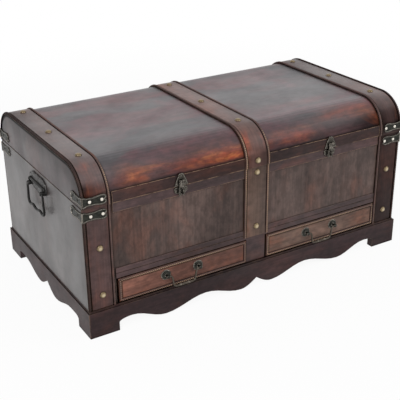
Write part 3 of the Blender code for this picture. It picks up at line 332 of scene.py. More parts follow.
class ChestStudio(bpy.types.PropertyGroup):
    """Camera, lamps and floor."""

    eye: lengths("Camera", "Where the camera stands", (-1.0533, -1.7487, 1.0858), "XYZ")
    yaw: angle("Yaw", "Camera's turn from +Y towards +X", 30.865)
    pitch: angle("Pitch", "How far the camera looks down", 25.016)
    roll: angle("Roll", "Camera's roll about its own axis", -0.660)
    lens: number("Lens", "Focal length in millimetres", 76.211)
    key_place: lengths("Key lamp's place", "Where the lamp at the upper left hangs", (-2.3, -2.1, 2.7), "XYZ")
    key_size: length("Key lamp's size", "Side of the lamp at the upper left", 1.5)
    key_power: number("Key lamp", "Watts of the lamp at the upper left", 60.0)
    fill_place: lengths("Fill lamp's place", "Where the lamp at the right hangs", (2.6, -1.8, 1.9), "XYZ")
    fill_size: length("Fill lamp's size", "Side of the lamp at the right", 2.0)
    fill_power: number("Fill lamp", "Watts of the lamp at the right", 22.0)
    world_level: share("Surround", "Light that the white surround throws on the chest", 0.55)
    floor_radius: length("Floor", "Radius of the round floor", 14.0)
    near_floor: length("Near floor", "Radius in which the floor shows the chest's shadow", 1.1)
    far_floor: length("Far floor", "Radius from which the floor is plain white", 2.4)


# Mesh helpers


def facing(origin, right=RIGHT, up=UP):
    """A placement whose X goes right, whose Y goes up and whose Z comes out of the surface."""
    right, up = Vector(right).normalized(), Vector(up).normalized()
    turned = Matrix((right, up, right.cross(up))).transposed().to_4x4()
    return Matrix.Translation(Vector(origin)) @ turned


def turns(count):
    """Equal angles round a full turn."""
    return [2 * math.pi * i / count for i in range(count)]


def smooth_line(points, steps):
    """A Catmull-Rom curve through the points, with that many steps between two of them."""
    points = [Vector(p) for p in points]
    padded = [points[0], *points, points[-1]]
    route = []
    for a, b, c, d in zip(padded, padded[1:], padded[2:], padded[3:]):
        square, cube = 2 * a - 5 * b + 4 * c - d, 3 * b - a - 3 * c + d
        for step in range(steps):
            t = step / steps
            route.append(0.5 * (2 * b + (c - a) * t + square * t**2 + cube * t**3))
    return [*route, points[-1]]


def smooth_shares(shares, half, rise):
    """A smooth line through shares of a half width and a height, as pairs of lengths."""
    return [(p.x, p.y) for p in smooth_line([(half * a, rise * h, 0.0) for a, h in shares], 3)]


def anticlockwise(outline):
    area = sum(a[0] * b[1] - b[0] * a[1] for a, b in zip(outline, outline[1:] + outline[:1]))
    return outline if area > 0 else outline[::-1]


def mirrored(shares, half, rise):
    """A closed outline from shares of a half width and a height, smoothed and mirrored about the middle."""
    right = smooth_shares(shares, half, rise)
    return anticlockwise(right + [(-a, h) for a, h in reversed(right) if a > half / 1000])


def skin(bm, rows):
    """Faces between rows of vertices. A row of one vertex is a point."""
    for a, b in zip(rows, rows[1:]):
        count = max(len(a), len(b))
        for i in range(count):
            j = (i + 1) % count
            corners = (a[i % len(a)], a[j % len(a)], b[j % len(b)], b[i % len(b)])
            bm.faces.new(list(dict.fromkeys(corners)))


def loft(bm, rings):
    """Skins rings and closes both ends, where a ring may be a point. Returns the rings of vertices."""
    rows = [[bm.verts.new(p) for p in ring] for ring in rings]
    skin(bm, rows)
    for row, turn in ((rows[0], -1), (rows[-1], 1)):
        if len(row) > 1:
            bm.faces.new(row[::turn])
    return rows


def lathe(bm, place, profile, sides=20, lobes=0, lobe_depth=0.0):
    """Turns a profile of (radius, height) about the placement's Z. An end with no radius is a point."""
    rings = []
    for radius, height in profile:
        ring = []
        for turn in turns(sides if radius else 1):
            reach = radius * (1 - lobe_depth * (0.5 + 0.5 * math.cos(lobes * turn)))
            ring.append(place @ Vector((reach * math.cos(turn), reach * math.sin(turn), height)))
        rings.append(ring)
    loft(bm, rings)


def tube(bm, points, radii, sides, up=UP):
    """A tube along points with a radius at each, closed at both ends. Its rings start square to up."""
    points = [Vector(p) for p in points]
    start = (points[1] - points[0]).normalized()
    side = start.cross(Vector(up))
    if side.length < 0.01:
        side = start.cross(Vector(FRONT))
    rings = []
    for i, point in enumerate(points):
        along = (points[min(i + 1, len(points) - 1)] - points[max(i - 1, 0)]).normalized()
        side = (side - along * side.dot(along)).normalized()
        other = along.cross(side)
        rings.append([point + (side * math.cos(t) + other * math.sin(t)) * radii[i] for t in turns(sides)])
    loft(bm, rings)


def ring_tube(bm, place, radius, wire, sides=28, wire_sides=10):
    """A closed wire ring in the placement's plane."""
    rows = []
    for turn in turns(sides):
        out = Vector((math.cos(turn), math.sin(turn), 0.0))
        ring = []
        for t in turns(wire_sides):
            point = out * (radius + wire * math.cos(t)) + Vector(UP) * wire * math.sin(t)
            ring.append(bm.verts.new(place @ point))
        rows.append(ring)
    skin(bm, [*rows, rows[0]])


def drawn_in(outline, width):
    """The outline moved inward by width, with its corners kept from running out."""
    points = [Vector((*p, 0.0)) for p in outline]
    moved = []
    for before, point, after in zip([points[-1], *points], points, [*points[1:], points[0]]):
        arriving, leaving = (point - before).normalized(), (after - point).normalized()
        inward = Vector((-arriving.y - leaving.y, arriving.x + leaving.x, 0.0))
        square = Vector((-leaving.y, leaving.x, 0.0))
        inward = inward.normalized() if inward.length > 0.1 else square
        stretch = min(1.35, 1 / max(0.5, inward.dot(square)))
        moved.append(point + inward * width * stretch)
    return [(p.x, p.y) for p in moved]


def embossed_plate(bm, place, outline, thick, rim, drop, crown=0.0, round_edge=0.0003):
    """A plate with rounded edges, a raised rim and a field that is sunk by drop and crowned again."""
    levels = [(0.0, 0.0), (0.0, thick - round_edge), (round_edge, thick), (round_edge + rim, thick)]
    levels.append((2 * round_edge + rim, thick - drop))
    if crown:
        levels += [(2 * rim, thick - drop + crown * 0.6), (3 * rim, thick - drop + crown)]
    rings = []
    for width, height in levels:
        ring = drawn_in(outline, width) if width else outline
        rings.append([place @ Vector((*point, height)) for point in ring])
    loft(bm, rings)


def rounded_box(bm, low, high, radius):
    """A box with rounded edges between two opposite corners."""
    made = bmesh.ops.create_cube(bm, size=1.0)
    for vert in made["verts"]:
        vert.co = [max(a, b) if at > 0 else min(a, b) for at, a, b in zip(vert.co, low, high)]
    edges = list({e for v in made["verts"] for e in v.link_edges})
    bmesh.ops.bevel(bm, geom=edges, offset=radius, segments=2, affect="EDGES", profile=0.5)


def dome(bm, place, radius, rise, steps=7):
    """A nail's dome on a thin foot."""
    foot = rise / 8
    profile = [(radius, 0.0), (radius, foot)]
    for i in range(1, steps):
        turn = math.pi / 2 * i / steps
        profile.append((radius * math.cos(turn), foot + (rise - foot) * math.sin(turn)))
    lathe(bm, place, [*profile, (0.0, rise)])


def finish_piece(name, bm, finish, body, stands_for=(), sharp=SHARP):
    """Turns a mesh into a piece that rides on a body and may stand for solids of the frame."""
    bmesh.ops.recalc_face_normals(bm, faces=bm.faces)
    for edge in bm.edges:
        edge.smooth = edge.calc_face_angle(0.0) < math.radians(sharp)
    for face in bm.faces:
        face.smooth = True
    mesh = bpy.data.meshes.new(name)
    bm.to_mesh(mesh)
    bm.free()
    mesh.materials.append(finish_for(finish))
    obj = bpy.data.objects.new(name, mesh)
    bpy.context.scene.collection.objects.link(obj)
    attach(obj, body)
    if stands_for:
        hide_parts(*stands_for)


def dress(node, bm, finish, body, sharp=FITTING_SHARP):
    """Makes the piece that stands for one solid of the frame."""
    finish_piece(f"dressed_{node}", bm, finish, body, [node], sharp)


def repaint(node, finish):
    """Gives a node of the frame one of the finishes."""
    mesh = frame["nodes"][node].data
    mesh.materials.clear()
    mesh.materials.append(finish_for(finish))


def pivot_of(joint):
    """Where a joint of the frame turns."""
    return Vector(next(j["pos_m"] for j in frame["joints"] if j["name"] == joint))


def middle_x(node):
    low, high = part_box(node)
    return (low.x + high.x) / 2


def board_face(row, side):
    """Where the front or back board's outer face lies along Y. side is -1 at the front, 1 at the back."""
    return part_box(f"{row}_board")[side > 0].y


# Material helpers


class Graph:
    """The nodes of a material or a world, added one by one."""

    def __init__(self, owner):
        owner.use_nodes = True
        self.owner = owner
        self.tree = owner.node_tree
        self.tree.nodes.clear()

    def put(self, value, socket):
        if isinstance(value, bpy.types.NodeSocket):
            self.tree.links.new(value, socket)
        elif socket.type == "RGBA" and len(value) == 3:
            socket.default_value = (*value, 1.0)
        else:
            socket.default_value = value

    def add(self, kind, inputs=None, **settings):
        node = self.tree.nodes.new("ShaderNode" + kind)
        for name, value in settings.items():
            setattr(node, name, value)
        for name, value in (inputs or {}).items():
            self.put(value, node.inputs[name])
        return node

    def math(self, operation, *values, clamp=False):
        return self.add("Math", dict(enumerate(values)), operation=operation, use_clamp=clamp).outputs[0]

    def times(self, first, second, clamp=False):
        return self.math("MULTIPLY", first, second, clamp=clamp)

    def vector(self, operation, *values, result=0):
        """A step of vector arithmetic. result names the output, which is "Value" where it is a number."""
        return self.add("VectorMath", dict(enumerate(values)), operation=operation).outputs[result]

    def part(self, vector, index):
        return self.add("SeparateXYZ", {0: vector}).outputs[index]

    def mix(self, factor, first, second, blend="MIX"):
        node = self.add("Mix", data_type="RGBA", blend_type=blend)
        for socket, value in ((0, factor), (6, first), (7, second)):
            self.put(value, node.inputs[socket])
        return node.outputs[2]

    def shaded(self, tone, amount):
        """The tone times a grey of that amount."""
        grey = self.add("CombineColor", {0: amount, 1: amount, 2: amount}).outputs[0]
        return self.mix(1.0, tone, grey, "MULTIPLY")

    def ramp(self, value, low, high, to_low=0.0, to_high=1.0):
        inputs = {"Value": value, "From Min": low, "From Max": high, "To Min": to_low, "To Max": to_high}
        return self.add("MapRange", inputs, interpolation_type="SMOOTHSTEP").outputs[0]

    def noise(self, vector, scale, detail=3.0, roughness=0.5, distortion=0.0):
        inputs = {"Vector": vector, "Scale": scale, "Detail": detail, "Roughness": roughness}
        inputs["Distortion"] = distortion
        return self.add("TexNoise", inputs, noise_dimensions="3D").outputs[0]

    def spot(self, vector, centre, size):
        """A soft spot: 1 at its centre and 0 from size away, with one size for each axis."""
        away = self.vector("DIVIDE", self.vector("SUBTRACT", vector, centre), size)
        return self.ramp(self.vector("LENGTH", away, result="Value"), 1.0, 0.0)

    def edges(self, radius, gain):
        """How strongly the surface turns within radius: 1 on edges and 0 on flats."""
        rounded = self.add("Bevel", {"Radius": radius}, samples=6).outputs[0]
        true = self.add("NewGeometry").outputs["Normal"]
        same = self.vector("DOT_PRODUCT", rounded, true, result="Value")
        return self.times(self.math("SUBTRACT", 1.0, same), gain, clamp=True)

    # Ambient occlusion, from which the finishes paint shade into corners
    def cavity(self, distance):
        return self.add("AmbientOcclusion", {"Distance": distance}, samples=6).outputs["AO"]

    def finish(self, shader, output="OutputMaterial"):
        self.put(shader.outputs[0], self.add(output).inputs["Surface"])
        return self.owner


class Wood(Graph):
    """Stained wood with its grain along one axis. Moulded wood follows its own grain layer."""

    def __init__(self, name, axis, moulded):
        super().__init__(bpy.data.materials.new(name))
        self.colours = bpy.context.scene.chest_colours
        self.axis = axis
        self.moulded = moulded
        self.world = self.add("TexCoord").outputs["Object"]
        self.height = self.part(self.world, 2)
        self.coords = self.world
        if moulded:
            self.coords = self.add("Attribute", attribute_name="grain").outputs["Vector"]

    def streaks(self, vector, along, across, detail=3.0, roughness=0.5, distortion=0.0):
        """Noise with its own scales along and across the grain."""
        scale = [along if name == self.axis else across for name in "xyz"]
        mapped = self.add("Mapping", {"Vector": vector, "Scale": scale}).outputs[0]
        return self.noise(mapped, 1.0, detail, roughness, distortion)

    def stained(self, base, lighter):
        """The stain with its darker streaks and lighter clouds."""
        streak = self.streaks(self.coords, 2.4, 20.0, 3.0, 0.50, 0.5)
        cloud = self.streaks(self.coords, 4.0, 8.0)
        tone = self.mix(self.ramp(streak, 0.28, 0.70, 0.50, 1.0), self.colours.shade, base)
        return self.mix(self.times(self.ramp(cloud, 0.42, 0.70), 0.7), tone, lighter)

    def tinted(self, tone):
        """Slate and violet clouds, stronger on the lid's flat top."""
        cloud = self.ramp(self.streaks(self.world, 5.0, 11.0, 3.0, 0.5, 0.8), 0.38, 0.62)
        amount = self.ramp(self.height, *TINTED_TOP, 0.2, 0.6)
        return self.mix(amount, tone, self.mix(cloud, self.colours.slate, self.colours.violet))

    def glowing(self, tone, glow, foot):
        """Rubs the lid's front curve to ember red, with yellow-orange flecks that are painted highlights.

        foot is 0 at the height of the lip rail, where shade is painted, and 1 above it and under the seam.
        """
        bright = 0.0
        for centre, size, weight in STRAP_GLOWS if self.moulded else GLOWS:
            bright = self.math("ADD", bright, self.times(self.spot(self.world, centre, size), weight))
        patch = self.streaks(self.coords, 9.0, 26.0, 4.0, 0.55, 0.4)
        broken = self.ramp(patch, 0.44, 0.62) if self.moulded else self.ramp(patch, 0.34, 0.62, 0.10, 1.0)
        bright = self.times(self.times(bright, broken), self.times(foot, glow), clamp=True)
        tone = self.mix(bright, tone, self.colours.ember)
        # Yellow-orange flecks that paint highlights in the middle of a rubbed place
        flecks = self.ramp(self.streaks(self.coords, 14.0, 60.0, 4.0, 0.6, 0.6), 0.50, 0.68)
        tone = self.mix(self.times(bright, self.times(flecks, 0.8)), tone, self.colours.amber)
        # Painted shade just over the lip rail, where foot is 0
        return self.shaded(tone, self.ramp(foot, 0.0, 1.0, 0.5, 1.0))

    def lid_rim(self):
        """From 0 in the middle of a lid end to 1 on its curved outline."""
        radius = bpy.context.scene.chest_sizes.lid_radius
        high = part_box("lid_skin")[1]
        inner = (1.0, high.y - radius, high.z - radius)
        away = self.vector("SUBTRACT", self.vector("ABSOLUTE", self.world), inner)
        away = self.vector("LENGTH", self.vector("MAXIMUM", away, (0, 0, 0)), result="Value")
        return self.math("DIVIDE", away, radius)

    def cleanness(self, grime, dark_faces, rim):
        """1 where no shade is painted, and less in corners, on shaded faces and along a lid end's rim, where
        it is.
        """
        # Painted shade in corners, from ambient occlusion
        unshaded = self.ramp(self.cavity(grime), 0.22, 0.97, 0.08, 1.0)
        # Painted shade on faces that turn towards the given directions
        for direction in dark_faces:
            normal = self.add("TexCoord").outputs["Normal"]
            towards = self.vector("DOT_PRODUCT", normal, direction, result="Value")
            unshaded = self.times(unshaded, self.ramp(towards, 0.60, 0.90, 1.0, 0.15))
        # Painted shade on a lid end: softly towards its outline, and strongly along it
        if rim:
            away = self.lid_rim()
            soft, hard = self.ramp(away, 0.20, 0.95, 1.0, 0.60), self.ramp(away, 0.87, 0.94, 1.0, 0.12)
            unshaded = self.times(unshaded, self.times(soft, hard))
        return unshaded


def make_wood(
    name, base, axis, patches, wear, sheen, rough, level,
    moulded=False, glow=0.0, grime=0.007, soft=0.0022, rim=False, dark_faces=(),
):
    """Stained wood: streaks, fibres and rubbed patches along one axis, worn edges and painted shade in
    corners.

    patches is the amount of rubbed wood, wear that of worn edge, sheen the weight of the lacquer, and level
    the wood's own specular level. glow adds rubbed wood on the lid's front curve, where the lacquer is
    thinner too, and paints shade just over the lip rail and on the curve's darkest places. moulded wood
    has painted shade in its low places, and its rope crests are golden, partly worn and partly a painted
    highlight. The corner shade setting is how far painted shade reaches out of a corner, and soft the width
    of a worn edge. rim paints shade on a lid end towards its curved outline, and the shaded faces setting
    lists the directions of faces on which shade is painted.
    """
    g = Wood(name, axis, moulded)
    lighter = [min(1.0, 1.6 * c) for c in base]
    tone = g.stained(base, lighter)
    amount, lacquer = patches, 1.0
    if glow:
        # foot is 0 just over the lip rail, where shade is painted, and 1 elsewhere
        foot = g.math("MAXIMUM", g.ramp(g.height, *OVER_LIP), g.ramp(g.height, *AT_SEAM))
        tone = g.glowing(tone if moulded else g.tinted(tone), glow, foot)
        curve = g.times(g.ramp(g.height, *CURVE_TOP), g.ramp(g.height, *CURVE_FOOT))
        amount = g.math("ADD", patches, g.times(g.times(curve, foot), 0.35 * glow))
        # Painted shade on the stain and the lacquer at the darkest places of the front curve
        curve_shade = 0.0
        for centre, size in SHADED_PLACES:
            curve_shade = g.math("MAXIMUM", curve_shade, g.spot(g.world, centre, size))
        tone = g.shaded(tone, g.ramp(curve_shade, 0.0, 1.0, 1.0, 0.35))
        lacquer = g.times(g.ramp(g.height, *LACQUERED_TOP, 0.30, 1.0), g.ramp(curve_shade, 0.0, 0.9, 1.0, 0.1))
        lacquer = g.times(lacquer, g.ramp(g.part(g.world, 1), 0.00, 0.20, 1.0, 0.68))
    blotch = g.streaks(g.coords, 6.0, 12.0, 5.0, 0.60, 0.5)
    tone = g.mix(g.times(g.ramp(blotch, 0.46, 0.70), amount, clamp=True), tone, g.colours.rubbed)
    if patches:
        mottle = g.streaks(g.world, 45.0, 75.0, 4.0, 0.65)
        tone = g.shaded(tone, g.ramp(mottle, 0.36, 0.64, 0.76, 1.18))
    fibre = g.streaks(g.coords, 9.0, 230.0, 5.0, 0.60, 0.4)
    dark = g.ramp(fibre, 0.30, 0.66, 0.80, 1.08)
    if moulded:
        across, rise = g.math("ABSOLUTE", g.part(g.coords, 1)), g.part(g.coords, 2)
        tone = g.mix(g.times(g.ramp(across, 0.026, 0.004), 0.35), tone, lighter)
        # Painted shade on the colour and the lacquer in a moulding's low places
        raised = g.ramp(rise, 0.0016, 0.0037, 0.10, 1.0)
        dark, lacquer = g.times(dark, raised), g.times(lacquer, raised)
    tone = g.shaded(tone, dark)
    edge = g.edges(soft, 5.0)
    if moulded:
        # Rope crests: golden where worn, and partly a painted highlight that fades on the lid's top
        broken = g.ramp(g.noise(g.world, 6.0, 2.0), 0.42, 0.60, 0.35, 1.0)
        crest = g.times(g.ramp(rise, 0.0050, 0.0059), broken)
        crest = g.times(crest, g.ramp(g.height, *DULL_ROPE_TOP, 0.12, 1.0))
        tone = g.mix(g.times(crest, wear), tone, g.colours.gilt)
        edge = g.times(edge, 0.5)
    chips = g.ramp(g.noise(g.coords, 55.0, 4.0, 0.6), 0.32, 0.60)
    tone = g.mix(g.times(edge, g.times(chips, wear)), tone, g.colours.worn)
    # Painted shade darkens the colour and thins the lacquer in corners, on shaded faces and along a lid end's
    # rim
    unshaded = g.cleanness(grime, dark_faces, rim)
    patchy = g.ramp(g.streaks(g.world, 2.5, 7.0, 4.0, 0.55, 0.6), 0.34, 0.66, 0.76, 1.14)
    lacquer = g.times(lacquer, g.times(unshaded, patchy))
    gloss = g.ramp(g.noise(g.coords, 12.0, 4.0, 0.6), 0.30, 0.70, rough - 0.05, rough + 0.08)
    bump = g.add("Bump", {"Strength": 0.2, "Distance": 0.0003, "Height": fibre})
    inputs = {"Base Color": g.shaded(tone, unshaded), "Roughness": gloss, "Normal": bump.outputs[0], "IOR": 1.55}
    inputs |= {"Coat Weight": g.times(lacquer, sheen), "Coat Roughness": 0.34}
    inputs["Specular IOR Level"] = g.times(lacquer, level)
    return g.finish(g.add("BsdfPrincipled", inputs))


def make_metal(name, base, bright, rough, edge_radius, gain=4.0, shine=1.0, mottled=1.0, crowned=False):
    """Aged metal: mottled patina, bright where it is rubbed, and with painted shade in the corners.

    A crowned dome gets a painted highlight on the part that faces straight out, less so on top, and painted
    shade round its foot.
    """
    g = Graph(bpy.data.materials.new(name))
    coords = g.add("TexCoord").outputs["Object"]
    mottle = g.noise(coords, 190.0, 5.0, 0.65)
    fine = g.noise(coords, 900.0, 3.0, 0.6)
    dull = [(1 - 0.45 * mottled) * c for c in base]
    tone = g.mix(g.ramp(mottle, 0.36, 0.62), dull, base)
    rub = g.times(g.edges(edge_radius, gain), g.ramp(mottle, 0.30, 0.55, 0.45, 1.0), clamp=True)
    tone = g.mix(rub, tone, bright)
    if crowned:
        # Painted highlight where a dome faces straight out, and painted shade round its foot
        faces = g.vector("ABSOLUTE", g.add("TexCoord").outputs["Normal"])
        x, y, z = g.add("SeparateXYZ", {0: faces}).outputs
        crown = g.math("MAXIMUM", g.math("MAXIMUM", x, y), g.times(z, 0.93))
        tone = g.mix(g.ramp(crown, 0.90, 0.995), tone, bright)
        tone = g.shaded(tone, g.ramp(crown, 0.55, 0.86, 0.22, 1.0))
    # Painted shade in the corners and round a dome's foot, from ambient occlusion
    tone = g.shaded(tone, g.ramp(g.cavity(0.004), 0.2, 0.95, 0.18, 1.0))
    gloss = g.ramp(mottle, 0.30, 0.70, rough + 0.14 * mottled, rough - 0.06 * mottled)
    bump = g.add("Bump", {"Strength": 0.5 * mottled, "Distance": 0.00012, "Height": fine})
    inputs = {"Base Color": tone, "Metallic": shine, "Roughness": gloss, "Normal": bump.outputs[0]}
    return g.finish(g.add("BsdfPrincipled", inputs))


def finish_for(name):
    """Makes each finish once, the first time that a piece asks for it."""
    if name not in FINISHES:
        colours = bpy.context.scene.chest_colours
        if name in WOODS:
            base, *amounts, settings = WOODS[name]
            FINISHES[name] = make_wood(name, getattr(colours, base), *amounts, **settings)
        else:
            base, bright, *amounts, settings = METALS[name]
            base, bright = getattr(colours, base), getattr(colours, bright)
            FINISHES[name] = make_metal(name, base, bright, *amounts, **settings)
    return FINISHES[name]


# Lines that straps and ropes follow: lists of (point, outward normal, distance)


def straight_line(start, end, normal=FRONT):
    """Between two points on one flat face, in steps of a rope's rings."""
    start, end = Vector(start), Vector(end)
    reach = (end - start).length
    count = max(1, round(reach / ROPE_STEP))
    return [(start.lerp(end, i / count), Vector(normal), reach * i / count) for i in range(count + 1)]


def lid_spans():
    """The lengths of the lid's upright front, its corner's arc, its flat top and the whole way over it."""
    low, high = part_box("lid_skin")
    radius = bpy.context.scene.chest_sizes.lid_radius
    upright = high.z - radius - low.z
    arc = radius * math.pi / 2
    flat = 2 * (high.y - radius)
    return upright, arc, flat, 2 * (upright + arc) + flat


def lid_line(step, inset=0.0):
    """Over the lid's skin, from its front lower edge to its back one, with both ends drawn in by inset."""
    radius = bpy.context.scene.chest_sizes.lid_radius
    low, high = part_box("lid_skin")
    upright, arc, flat, total = lid_spans()
    corners = [inset, upright, upright + arc, upright + arc + flat, total - upright, total - inset]
    corners = [c for c in corners if inset <= c <= total - inset]
    stops = []
    for a, b in zip(corners, corners[1:]):
        count = max(1, math.ceil((b - a) / step))
        stops += [a + (b - a) * i / count for i in range(count)]
    line = []
    for stop in [*stops, total - inset]:
        near = min(stop, total - stop)
        turn = max(0.0, min((near - upright) / radius, math.pi / 2))
        past = max(near - upright - arc, 0.0)
        normal = Vector((0, -math.cos(turn), math.sin(turn)))
        y = radius - high.y + radius * normal.y + past
        z = low.z + near if near <= upright else high.z - radius + radius * normal.z
        if stop > total / 2:
            y, normal.y = -y, -normal.y
        line.append((Vector((0, y, z)), normal, stop - inset))
    return line


def strap_section(half, base, guarded):
    """A strap's section from left to right: a crowned flat between two beds for its mouldings.

    Where guarded is -1 or 1, the left or right bed is under a guard and as thick as the flat.
    """
    sizes = bpy.context.scene.chest_sizes
    flat, soft = sizes.strap_flat, sizes.strap_flat / 4
    inner = half - sizes.bed_width

    def edge(side):
        bed = flat if side == guarded else sizes.strap_bed
        return [
            (side * half, base),
            (side * half, bed - soft / 2),
            (side * (half - soft / 2), bed),
            (side * (inner + soft / 2), bed),
            (side * inner, max(bed, flat - soft)),
            (side * (inner - soft / 2), max(bed, flat - soft / 4)),
            (side * (inner - 1.6 * soft), flat),
        ]

    return [*edge(-1), (0.0, flat + soft / 5), *edge(1)[::-1]]


def grain_layer(bm):
    """The layer that keeps the wood's own directions: along, across and out."""
    layers = bm.verts.layers.float_vector
    return layers.get("grain") or layers.new("grain")


def sweep(bm, centre, line, section_at):
    """Lays a section along a line and stores its grain."""
    grain = grain_layer(bm)
    rings = []
    for point, normal, distance in line:
        rings.append([point + Vector((centre + a, 0, 0)) + normal * h for a, h in section_at(distance)])
    for row, (_point, _normal, distance) in zip(loft(bm, rings), line):
        for vert, (across, height) in zip(row, section_at(distance)):
            vert[grain] = (distance + 3 * centre, across, height)


def rope(bm, line, radius, sideways=RIGHT, across=0.0, height=0.0, strands=3, sides=12):
    """A stranded rope along a line. across shifts it sideways and height lifts it off the surface."""
    sizes = bpy.context.scene.chest_sizes
    grain = grain_layer(bm)
    sideways = Vector(sideways)
    rings, rises = [], []
    for point, normal, distance in line:
        middle = point + sideways * across + normal * height
        twist = 2 * math.pi * distance / sizes.rope_lay
        reaches = []
        for turn in turns(sides):
            furrow = (0.5 - 0.5 * math.cos(strands * (turn - twist))) ** 1.5
            reaches.append((turn, radius * (1 - sizes.rope_relief * furrow)))
        rings.append([middle + (sideways * math.cos(t) + normal * math.sin(t)) * r for t, r in reaches])
        rises.append([2 * sizes.rope_radius - radius + r * math.sin(t) for t, r in reaches])
    for row, rise, (point, _normal, distance) in zip(loft(bm, rings), rises, line):
        for k, vert in enumerate(row):
            vert[grain] = (distance + 7 * (point.z + across), radius * k / sides, rise[k])


def bail_route(shares, pivot, half, drop, sideways):
    """A bail's smooth route, from shares of half the spacing of its pins and of its drop."""
    path = [(-a, d) for a, d in shares] + [(a, d) for a, d in reversed(shares[:-1])]
    return smooth_line([pivot + Vector(sideways) * half * a - Vector(UP) * drop * d for a, d in path], 6)


# Operators: one for each group of pieces


class CHEST_OT_boards(bpy.types.Operator):
    """Stains the case, lid, rails and plinth, and leaves the wood inside bare"""

    bl_idname = "chest.boards"
    bl_label = "Boards"

    def execute(self, context):
        for name, _side in SIDES:
            repaint(f"side_board_{name}", "side wood")
            repaint(f"lid_end_{name}", "lid end wood")
            repaint(f"plinth_{name}", "plinth end wood")
            repaint(f"drawer_box_{name}", "bare wood")
            repaint(f"drawer_guide_{name}", "bare wood")
        for name, _side in ROWS:
            repaint(f"{name}_board", "front wood")
            repaint(f"plinth_{name}", "plinth wood")
        repaint("lid_skin", "lid wood")
        repaint("top_rail", "rail wood")
        repaint("drawer_rail", "drawer rail wood")
        repaint("lid_lip", "lip wood")
        for node in ("compartment_floor", "bottom_board", "drawer_divider"):
            repaint(node, "bare wood")
        return {"FINISHED"}


class CHEST_OT_straps(bpy.types.Operator):
    """Lays the raised straps over the front, lid and back, with rope mouldings along their edges"""

    bl_idname = "chest.straps"
    bl_label = "Straps"

    def execute(self, context):
        for row, side in ROWS:
            for name, column in COLUMNS:
                self.case_strap(row, side, name, column)
        for name, column in COLUMNS:
            self.lid_strap(name, column)
        return {"FINISHED"}

    def seat(self, node, column):
        """A strap's solid as a box, and the middle and the half width of its dressing."""
        low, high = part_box(node)
        high.x -= bpy.context.scene.chest_sizes.left_slim if column < 0 else 0.0
        return low, high, (low.x + high.x) / 2, (high.x - low.x) / 2

    def case_strap(self, row, side, name, column):
        sizes = bpy.context.scene.chest_sizes
        node = f"strap_{row}_{name}"
        low, high, centre, half = self.seat(node, column)
        board = board_face(row, side)
        rail_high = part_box("drawer_rail")[1].z
        top_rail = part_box("top_rail")[0]
        lapped = column == 0 and side < 0
        over = abs(top_rail.y - board) + sizes.board_gap
        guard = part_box(f"case_guard_{row}_{name}")[0].z + sizes.rope_lap if column else high.z

        def section_at(distance):
            z = low.z + distance
            on_rail = lapped and not rail_high < z < top_rail.z
            return strap_section(half, over if on_rail else sizes.board_gap, column if z > guard else 0)

        changes = (guard,) if column else ()
        if lapped:
            changes = (rail_high, top_rail.z)
        stops = [low.z, *(z + way * CHANGE for z in changes for way in (-1, 1)), high.z]
        line = [(Vector((0, board, z)), Vector((0, side, 0)), z - low.z) for z in stops]
        bm = bmesh.new()
        sweep(bm, centre, line, section_at)
        dress(node, bm, CASE_STRAP_FINISHES[column], "case", SHARP)
        inner = "dark rope wood" if column else "rope wood"
        lines = [straight_line((0, board, low.z), (0, board, top), (0, side, 0)) for top in (high.z, guard)]
        self.ropes(f"{row}_{name}", "case", column, inner, lines, centre, half)

    def lid_strap(self, name, column):
        sizes = bpy.context.scene.chest_sizes
        node = f"lid_strap_{name}"
        _low, _high, centre, half = self.seat(node, column)
        skin_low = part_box("lid_skin")[0]
        lip_low, lip_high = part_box("lid_lip")
        over = skin_low.y - lip_low.y + sizes.board_gap
        lip_end = lip_high.z - lip_low.z + LIP_RUN
        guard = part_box(f"lid_guard_front_{name}")[1].z - skin_low.z - sizes.rope_lap if column else 0.0
        total = lid_spans()[-1]

        def section_at(distance):
            on_lip = column == 0 and distance < lip_end
            under_guard = min(distance, total - distance) < guard
            return strap_section(half, over if on_lip else sizes.board_gap, column if under_guard else 0)

        bm = bmesh.new()
        sweep(bm, centre, lid_line(STRAP_STEP), section_at)
        finish = "strap wood" if column else "bright strap wood"
        dress(node, bm, finish, "lid", SHARP)
        inner = "dark rope wood" if column > 0 else "rope wood"
        lines = [lid_line(ROPE_STEP), lid_line(ROPE_STEP, guard)]
        self.ropes(f"lid_{name}", "lid", column, inner, lines, centre, half)

    def ropes(self, place, body, column, inner, lines, centre, half):
        """Lays the ropes along a strap's edges. The one along an end of the chest is shorter, and darker to
        paint the shadow line along that edge.
        """
        sizes = bpy.context.scene.chest_sizes
        radius = sizes.rope_radius
        kinds = (
            ("rope", inner, lines[0], sizes.rope_inset, [side for side in (-1, 1) if side != column]),
            ("edge_rope", "shaded edge rope wood", lines[1], sizes.outer_inset, [column] if column else []),
        )
        for label, finish, line, inset, edges in kinds:
            bm = bmesh.new()
            for edge in edges:
                rope(bm, line, radius, RIGHT, centre + edge * (half - inset), radius)
            if edges:
                finish_piece(f"{label}_{place}", bm, finish, body, sharp=ROPE_SHARP)


